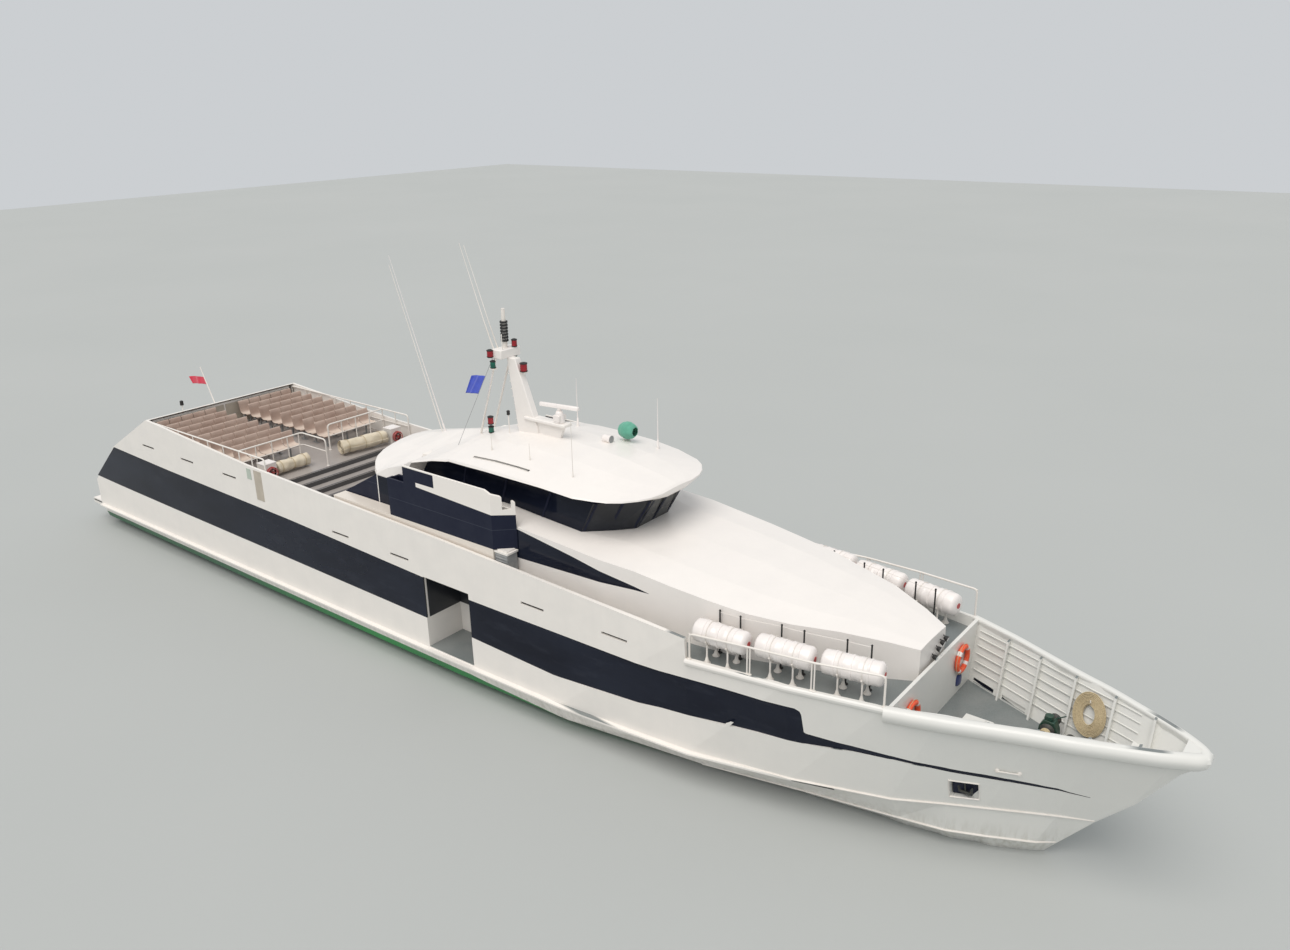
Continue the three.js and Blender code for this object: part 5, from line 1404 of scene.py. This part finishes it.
def wheelhouse_window_bars():
    """Bars between the panes: three a side, three on each slanting pane and four in front."""
    shape = Shape()
    (aft, aft_top), (side, side_top), (front, front_top) = [
        (Vector(low), Vector(high)) for low, high in CORNERS
    ]
    for sign in (-1, 1):
        flip = Vector((1, sign))
        for x in (0.9, 2.4, 3.9):
            t = (x - aft.x) / (side.x - aft.x)
            place, top = aft.lerp(side, t), aft_top.lerp(side_top, t)
            window_bar(shape, place * flip, top * flip, (0, sign), 0.03)
        facet = (front - side).normalized()
        out = (-facet.y, facet.x * sign) if facet.y < 0 else (facet.y, -facet.x * sign)
        for share in (0.04, 0.5, 0.96):
            place, top = side.lerp(front, share), side_top.lerp(front_top, share)
            window_bar(shape, place * flip, top * flip, out, 0.032)
        window_bar(shape, (front.x, sign * 0.03), (front_top.x, sign * 0.03), (1, 0), 0.025)
        window_bar(shape, (front.x, sign * 0.62), (front_top.x, sign * 0.57), (1, 0), 0.03)
    shape.piece("wheelhouse_window_bars", "dark_paint", "dark_glazing")


# y and z of each floodlight, their common x and where they point
FLOODLIGHTS = ((-0.02, 3.88), (0.17, 4.0), (0.36, 4.08), (0.55, 4.1))
FLOOD_X, FLOOD_AXIS = 14.12, Vector((1, 0, -0.3))


def floodlights():
    """Small floodlights under the front edge of the deckhouse roof."""
    shape = Shape()
    body = [(0.01, 0), (0.045, 0.01), (0.06, 0.05), (0.065, 0.10), (0.058, 0.104)]
    glass = [(0.002, 0), (0.056, 0), (0.056, 0.003), (0.002, 0.003)]
    for y, z in FLOODLIGHTS:
        place = Vector((FLOOD_X, y, z))
        shape.lathe(body, place, FLOOD_AXIS, 16)
        shape.lathe(glass, place + FLOOD_AXIS.normalized() * 0.102, FLOOD_AXIS, 16, 1)
        shape.bar(place + Vector((-0.016, 0, 0.05)), place + Vector((0.03, 0, 0.02)), 0.012, 8)
    shape.piece("floodlights", ["black_rubber", "clear_lens"], "dark_steel")


VENT = Sizes(aft=3.29, fore=3.70, inner=2.5, outer=2.86, kerb=4.06, head=4.58, louvres=6)


def trunk_vent(name, side):
    """A vent with louvres and a stepped cap, standing in front of the side trunk."""
    shape = Shape()
    aft, fore, kerb, head = VENT.aft, VENT.fore, VENT.kerb, VENT.head
    low, high = sorted((side * VENT.outer, side * VENT.inner))
    shape.block((aft, low + 0.01, UPPER_DECK + 0.003), (fore, high - 0.01, kerb))
    shape.block((aft - 0.02, low, kerb), (fore + 0.02, high, head), 1)
    inner, outer = side * (VENT.outer - 0.015), side * (VENT.outer + 0.015)
    for k in range(VENT.louvres):
        z = kerb + 0.06 + 0.08 * k
        slat = [(aft, inner, z + 0.03), (fore, inner, z + 0.03), (fore, outer, z), (aft, outer, z)]
        shape.prism(slat, UP * 0.012, 1)
    shape.block((aft - 0.03, low - 0.02, head + 0.005), (fore + 0.05, high + 0.02, 4.64))
    shape.block((aft + 0.02, low + 0.03, 4.64), (fore - 0.01, high - 0.03, 4.675))
    shape.piece(f"trunk_vent_{name}", ["white_paint", "grey_plastic"], "white_paint", bevel=0.012)


SIDE_SLOTS = ((-14.2, 4.13), (-11.6, 4.13), (-9.0, 4.13), (-3.2, 3.5), (-0.5, 3.5), (4.7, 3.5), (7.4, 3.5))
SLOT = Sizes(half=0.395, rise=0.03, depth=0.045, bars=(-0.02, -0.007, 0.007, 0.02), pitch=0.039)
# lower aft corner, upper forward corner and mark of each cover
COVERS = (((-7.873, 4.284), (-7.628, 4.642), 0), ((-7.475, 3.655), (-7.061, 4.655), 1))


def side_covers(name, side):
    """Two flush covers with corner screws on the hull side by the steps."""
    shape = Shape()
    inner, outer = side * 3.0505, side * 3.0585
    low_y, high_y = sorted((inner, outer))
    for (x0, z0), (x1, z1), mark in COVERS:
        shape.block((x0, low_y, z0), (x1, high_y, z1), mark)
        for x in (x0 + 0.03, x1 - 0.03):
            for z in (z0 + 0.03, z1 - 0.03):
                shape.lathe([(0.009, 0), (0.009, 0.003), (0.002, 0.005)], (x, outer, z), PORT * side, 8, 2)
    finishes = ["pale_green", "beige_panel", "grey_plastic"]
    shape.piece(f"side_covers_{name}", finishes, "white_paint", bevel=0.003)


def drain_meshes(name, side):
    """A dark frame with a mesh in each drain slot of the hull side."""
    shape = Shape()
    half, rise = SLOT.half, SLOT.rise
    for x, z in SIDE_SLOTS:
        y = side * (hull_half(x, z) - SLOT.depth)
        corners = ((-half, -rise), (half, -rise), (half, rise), (-half, rise))
        shape.tube([(x + ahead, y, z + up) for ahead, up in corners], 0.006, 6, closed=True)
        for up in SLOT.bars:
            shape.bar((x - half, y, z + up), (x + half, y, z + up), 0.0062, 6)
        for k in range(21):
            place = Vector((x - 0.39 + SLOT.pitch * k, y + side * 0.006, z))
            shape.bar(place - UP * 0.032, place + UP * 0.032, 0.003, 4)
    shape.piece(f"drain_meshes_{name}", "black_rubber", "white_paint")


# Chine of the bow: x, half width and height
CHINE = ((9.48, 2.32, 0.37), (12.0, 1.8, 0.42), (14.18, 1.41, 0.45), (15.2, 1.2, 0.455), (16.0, 0.85, 0.45),
         (16.9, 0.4, 0.44), (17.24, 0.085, 0.39))


def smooth_line(points, steps):
    """Points on a smooth curve through the given ones."""
    points = [Vector(point) for point in points]
    ends = [points[0] * 2 - points[1], *points, points[-1] * 2 - points[-2]]
    line = []
    for a, b, c, d in zip(ends, ends[1:], ends[2:], ends[3:]):
        for k in range(steps):
            t = k / steps
            line.append(0.5 * (2 * b + (c - a) * t + (2 * a - 5 * b + 4 * c - d) * t * t
                               + (3 * b - a - 3 * c + d) * t ** 3))
    return [*line, points[-1]]


def spray_rails(name, side):
    """Slim strips along the knuckle and the chine of the bow."""
    shape = Shape()
    knuckle = [(x, y, z) for x, y, z, _, _ in HULL if 9.0 < x < 17.95]
    for line, out in ((knuckle, 0.045), (CHINE, 0.04)):
        rings = []
        for i, (x, y, z) in enumerate(line):
            reach = out * (0.25 if i in (0, len(line) - 1) else 1.0)
            section = ((-0.03, 0.035), (reach, 0.012), (reach, -0.012), (-0.03, -0.03))
            rings.append([(x, side * (y + away), z + up) for away, up in section])
        shape.rings(rings)
    shape.piece(f"spray_rails_{name}", "white_rail", "white_paint", bevel=0.006)


# Cap of the bow: x, half width and height along the middle of its top
BOW_CAP = (
    (14.12, 2.45, 3.812), (15.2, 2.085, 3.79), (16.0, 1.76, 3.77), (16.9, 1.4, 3.745), (17.6, 1.15, 3.727),
    (18.2, 0.89, 3.705), (18.64, 0.7, 3.69), (19.0, 0.53, 3.675), (19.32, 0.35, 3.66), (19.56, 0.19, 3.64),
    (19.67, 0.07, 3.628),
)
CAP_SHAPE = (
    (-0.088, -0.06), (-0.05, -0.12), (-0.05, -0.335), (0.025, -0.347), (0.075, -0.29), (0.116, -0.233),
    (0.138, -0.175), (0.147, -0.12), (0.136, -0.075), (0.112, -0.03), (0.08, 0.002), (0.042, 0.018),
    (-0.042, 0.018), (-0.075, 0.006),
)


def bow_cap():
    """The rounded capping that runs round the bow without a corner."""
    half = smooth_line([(x, y, z) for x, y, z in BOW_CAP], 6)
    path = [Vector((p.x, -p.y, p.z)) for p in half] + [Vector(p) for p in reversed(half)]
    rings = []
    for i, point in enumerate(path):
        before, after = path[max(i - 3, 0)], path[min(i + 3, len(path) - 1)]
        along = (after - before).normalized()
        out = Vector((along.y, -along.x, 0)).normalized()
        rings.append([point + out * across + UP * up for across, up in CAP_SHAPE])
    shape = Shape()
    shape.rings(rings)
    shape.piece("bow_cap", "white_paint", "white_paint", smooth=60)


# corners of the anchor pocket on the skin, and of the dark sheet of painted shade at its back
POCKET = ((15.3, 1.53), (15.86, 1.53), (15.86, 2.02), (15.3, 2.02))
SHADE_SHEET = ((15.335, 1.575), (15.82, 1.56), (15.83, 1.985), (15.335, 1.985))
ANCHOR = Sizes(x=15.58, z=1.78, depth=0.055, low=1.6, high=1.95)


def anchors(name, side):
    """A stowed anchor in each bow pocket, with a white frame round the pocket and a dark sheet of painted
    shade at its back.
    """
    shade_sheet, anchor, rim = Shape(), Shape(), Shape()
    rim.tube([skin_point(x, z, side, 0.006) for x, z in POCKET], 0.022, 8, closed=True)
    rim.piece(f"anchor_pocket_rim_{name}", "white_rail", "white_paint")
    # a navy sheet 10 cm inside the skin: painted shade at the back of the pocket
    shade_sheet.prism([skin_point(x, z, side, -0.10) for x, z in SHADE_SHEET], PORT * (-0.006 * side))
    shade_sheet.piece(f"anchor_pocket_lining_{name}", "dark_paint", "white_paint")
    x = ANCHOR.x
    middle = skin_point(x, ANCHOR.z, side, -ANCHOR.depth)
    down = (skin_point(x, ANCHOR.low, side) - skin_point(x, ANCHOR.high, side)).normalized()
    foot = middle + down * 0.12
    anchor.tube([middle - down * 0.17, foot], 0.018, 10)
    stock = [(0.02, -0.16), (0.032, -0.15), (0.036, 0), (0.032, 0.15), (0.02, 0.16)]
    anchor.lathe(stock, foot, AHEAD, 12)
    for sign in (-1, 1):
        tip = middle + AHEAD * (sign * 0.16) - down * 0.10
        root = foot + AHEAD * (sign * 0.12)
        anchor.tube([root, root.lerp(tip, 0.6), tip], [0.026, 0.034, 0.006], 8)
    anchor.piece(f"anchor_{name}", "dark_steel", "dark_steel", bevel=0.004)


HANDLE = ((16.2, 2.52), (16.6, 2.5))


def bow_handles(name, side):
    """A short bar on two round feet on the outside of the bow."""
    shape = Shape()
    foot = [(0.01, 0), (0.05, 0), (0.05, 0.02), (0.03, 0.04), (0.03, 0.06)]
    for x, z in HANDLE:
        shape.lathe(foot, skin_point(x, z, side, 0.004), (0.25, side, -0.2), 14)
    start, end = (skin_point(x, z, side, 0.06) for x, z in HANDLE)
    shape.bar(start, end, 0.018)
    shape.piece(f"bow_handles_{name}", "white_rail", "white_paint")


AFT_WALL = Sizes(x=-14.045, half=2.8, top=5.07, doors=8, gap=0.03, catch=0.05)


def seat_deck_aft_wall():
    """Locker fronts that close the low space under the raked stern plate."""
    shape = Shape()
    x, half, gap, catch = AFT_WALL.x, AFT_WALL.half, AFT_WALL.gap, AFT_WALL.catch
    shape.block((x - 0.03, -half, SEAT_DECK + 0.004), (x, half, AFT_WALL.top))
    width = 2 * half / AFT_WALL.doors
    for y in (-half + width * k for k in range(AFT_WALL.doors)):
        middle = y + width / 2
        shape.block((x, y + gap, SEAT_DECK + 0.06), (x + 0.012, y + width - gap, AFT_WALL.top - 0.07), 1)
        shape.block((x + 0.012, middle - catch, 4.55), (x + 0.025, middle + catch, 4.575), 2)
    finishes = ["white_paint", "beige_panel", "grey_plastic"]
    shape.piece("seat_deck_locker_fronts", finishes, "white_paint", bevel=0.004)


# door, the axis that its outside faces along, which way, and the side of its free edge
DOORS = (
    ("stern_door", 0, -1, 1),
    ("house_door", 0, -1, 1),
    ("boarding_door_starboard", 1, -1, -1),
    ("boarding_door_port", 1, 1, -1),
)
# half width, foot and head of the window, as shares of the door's half width and height
PANE, PANE_RIM = (0.5, 0.6, 0.86), (0.53, 0.59, 0.87)
# the handle's place across the door, then height share and distance off the door at each of its corners
PULL = Sizes(across=0.84, corners=((0.44, 0.001), (0.44, 0.045), (0.56, 0.045), (0.56, 0.001)))
KNUCKLES = Sizes(across=0.95, levels=(0.12, 0.5, 0.88), half=0.05, radius=0.011)


def door_fittings(name, axis, way, free):
    """A small window with a rubber rim, a pull handle and three hinge knuckles on a door's outside."""
    low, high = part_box(name)
    face = low[axis] if way < 0 else high[axis]
    other = 1 - axis
    middle, half = (low[other] + high[other]) / 2, (high[other] - low[other]) / 2
    height = high[2] - low[2]

    def place(share, level, out):
        point = [0, 0, low[2] + height * level]
        point[axis] = face + way * out
        point[other] = middle + half * share
        return Vector(point)

    def outline(window, out):
        reach, foot, head = window
        return [place(x, z, out) for x, z in ((-reach, foot), (reach, foot), (reach, head), (-reach, head))]

    pane, trim = Shape(), Shape()
    pane.prism(outline(PANE, 0.001), place(0, 0, 0.004) - place(0, 0, 0.0))
    pane.piece(f"{name}_pane", "dark_glazing", "dark_glazing", name)
    trim.tube(outline(PANE_RIM, 0.006), 0.011, 8, closed=True)
    handle = [place(free * PULL.across, level, out) for level, out in PULL.corners]
    trim.tube(bend(handle, 0.02), 0.009, 10, 1)
    for level in KNUCKLES.levels:
        knuckle = place(-free * KNUCKLES.across, level, 0.008)
        end = UP * KNUCKLES.half
        trim.bar(knuckle - end, knuckle + end, KNUCKLES.radius, 10, 1)
    trim.piece(f"{name}_trim", ["black_rubber", "white_rail"], "dark_steel", name)


PLATFORM = Sizes(fore=-18.98, aft=-19.775, half=2.945, z=0.83, top=0.9)
# x and z along a cleat's horns
HORNS = ((-19.70, 0.985), (-19.64, 0.975), (-19.44, 0.975), (-19.38, 0.985))
CLEAT = Sizes(y=2.5, feet=(-19.62, -19.46))
GRAB = Sizes(y=0.75, corners=((-18.89, 1.15), (-19.0, 1.15), (-19.0, 1.8), (-18.89, 1.8)))


def stern_fittings():
    """A rubber strip round the stern platform, cleats on it and grab rails beside the alcove."""
    fender, metal = Shape(), Shape()
    fore, aft, half, z = PLATFORM.fore, PLATFORM.aft, PLATFORM.half, PLATFORM.z
    fender.tube(bend([(fore, -half, z), (aft, -half, z), (aft, half, z), (fore, half, z)], 0.06), 0.024, 10)
    fender.piece("platform_fender", "black_rubber", "dark_steel")
    for sign in (-1, 1):
        y = sign * CLEAT.y
        for x in CLEAT.feet:
            foot = [(0.03, 0.002), (0.03, 0.012), (0.016, 0.03), (0.016, 0.07)]
            metal.lathe(foot, (x, y, PLATFORM.top), sides=14)
        metal.tube([(x, y, up) for x, up in HORNS], [0.010, 0.017, 0.017, 0.010], 10)
        metal.tube(bend([(x, sign * GRAB.y, up) for x, up in GRAB.corners], 0.05), 0.016, 10)
    metal.piece("stern_cleats_and_grabs", "white_rail", "white_rail")


STERN_LIGHT = Sizes(x=-14.25, y=-1.52, foot=5.02, head=5.3)


def stern_light():
    """A small dark lamp on a post at the aft edge of the seat deck."""
    shape = Shape()
    foot = Vector((STERN_LIGHT.x, STERN_LIGHT.y, STERN_LIGHT.foot))
    head = at_height(foot, STERN_LIGHT.head)
    shape.bar(foot, head, 0.016, 10, 1)
    profile = [(0.02, 0), (0.06, 0.01), (0.065, 0.03), (0.06, 0.14), (0.065, 0.16), (0.03, 0.185)]
    shape.lathe(profile, head - UP * 0.01, sides=16)
    shape.piece("stern_light", ["black_rubber", "white_rail"], "dark_steel")


def make_stage():
    """A wide flat floor at the waterline."""
    mesh = bpy.data.meshes.new("floor")
    reach = 160
    corners = [(-reach, -reach, 0), (reach, -reach, 0), (reach, reach, 0), (-reach, reach, 0)]
    mesh.from_pydata(corners, [], [(0, 1, 2, 3)])
    mesh.materials.append(stage_floor())
    floor = bpy.data.objects.new("floor", mesh)
    bpy.context.collection.objects.link(floor)


def make_light():
    """A pale even sky with one broad soft sun, high on the starboard side."""
    world = bpy.data.worlds.new("studio")
    world.use_nodes = True
    background = world.node_tree.nodes["Background"]
    background.inputs["Color"].default_value = (0.86, 0.89, 0.92, 1)
    background.inputs["Strength"].default_value = 0.70
    bpy.context.scene.world = world
    bpy.context.scene.view_settings.view_transform = "Standard"
    sun = bpy.data.lights.new("soft_sun", "SUN")
    sun.energy = 2.0
    sun.angle = math.radians(50)
    sun.color = (1.0, 0.95, 0.90)
    item = bpy.data.objects.new("soft_sun", sun)
    item.rotation_euler = Vector((-0.1, 0.5, -1.0)).to_track_quat("-Z", "Y").to_euler()
    bpy.context.collection.objects.link(item)


make_camera()
make_stage()
make_light()
dress_nodes()
rope_coil()
for side_name, sign in SIDES.items():
    for make in (
        seat_rails, bench_rows, canvas_rolls, deck_lockers, life_rafts, side_rails, life_rings, bollards,
        bulwark_stringers, trunk_vent, side_covers, drain_meshes, spray_rails, anchors, bow_handles,
    ):
        make(side_name, sign)
for make in (
    windlass, foredeck_hatch, mast_tower, mast_lamps, radar, whips, roof_horn, searchlight,
    float_line_bag, roof_grille, wheelhouse_window_bars, bow_cap, floodlights, seat_deck_aft_wall,
    stern_light, stern_fittings,
):
    make()
for door in DOORS:
    door_fittings(*door)
flags()
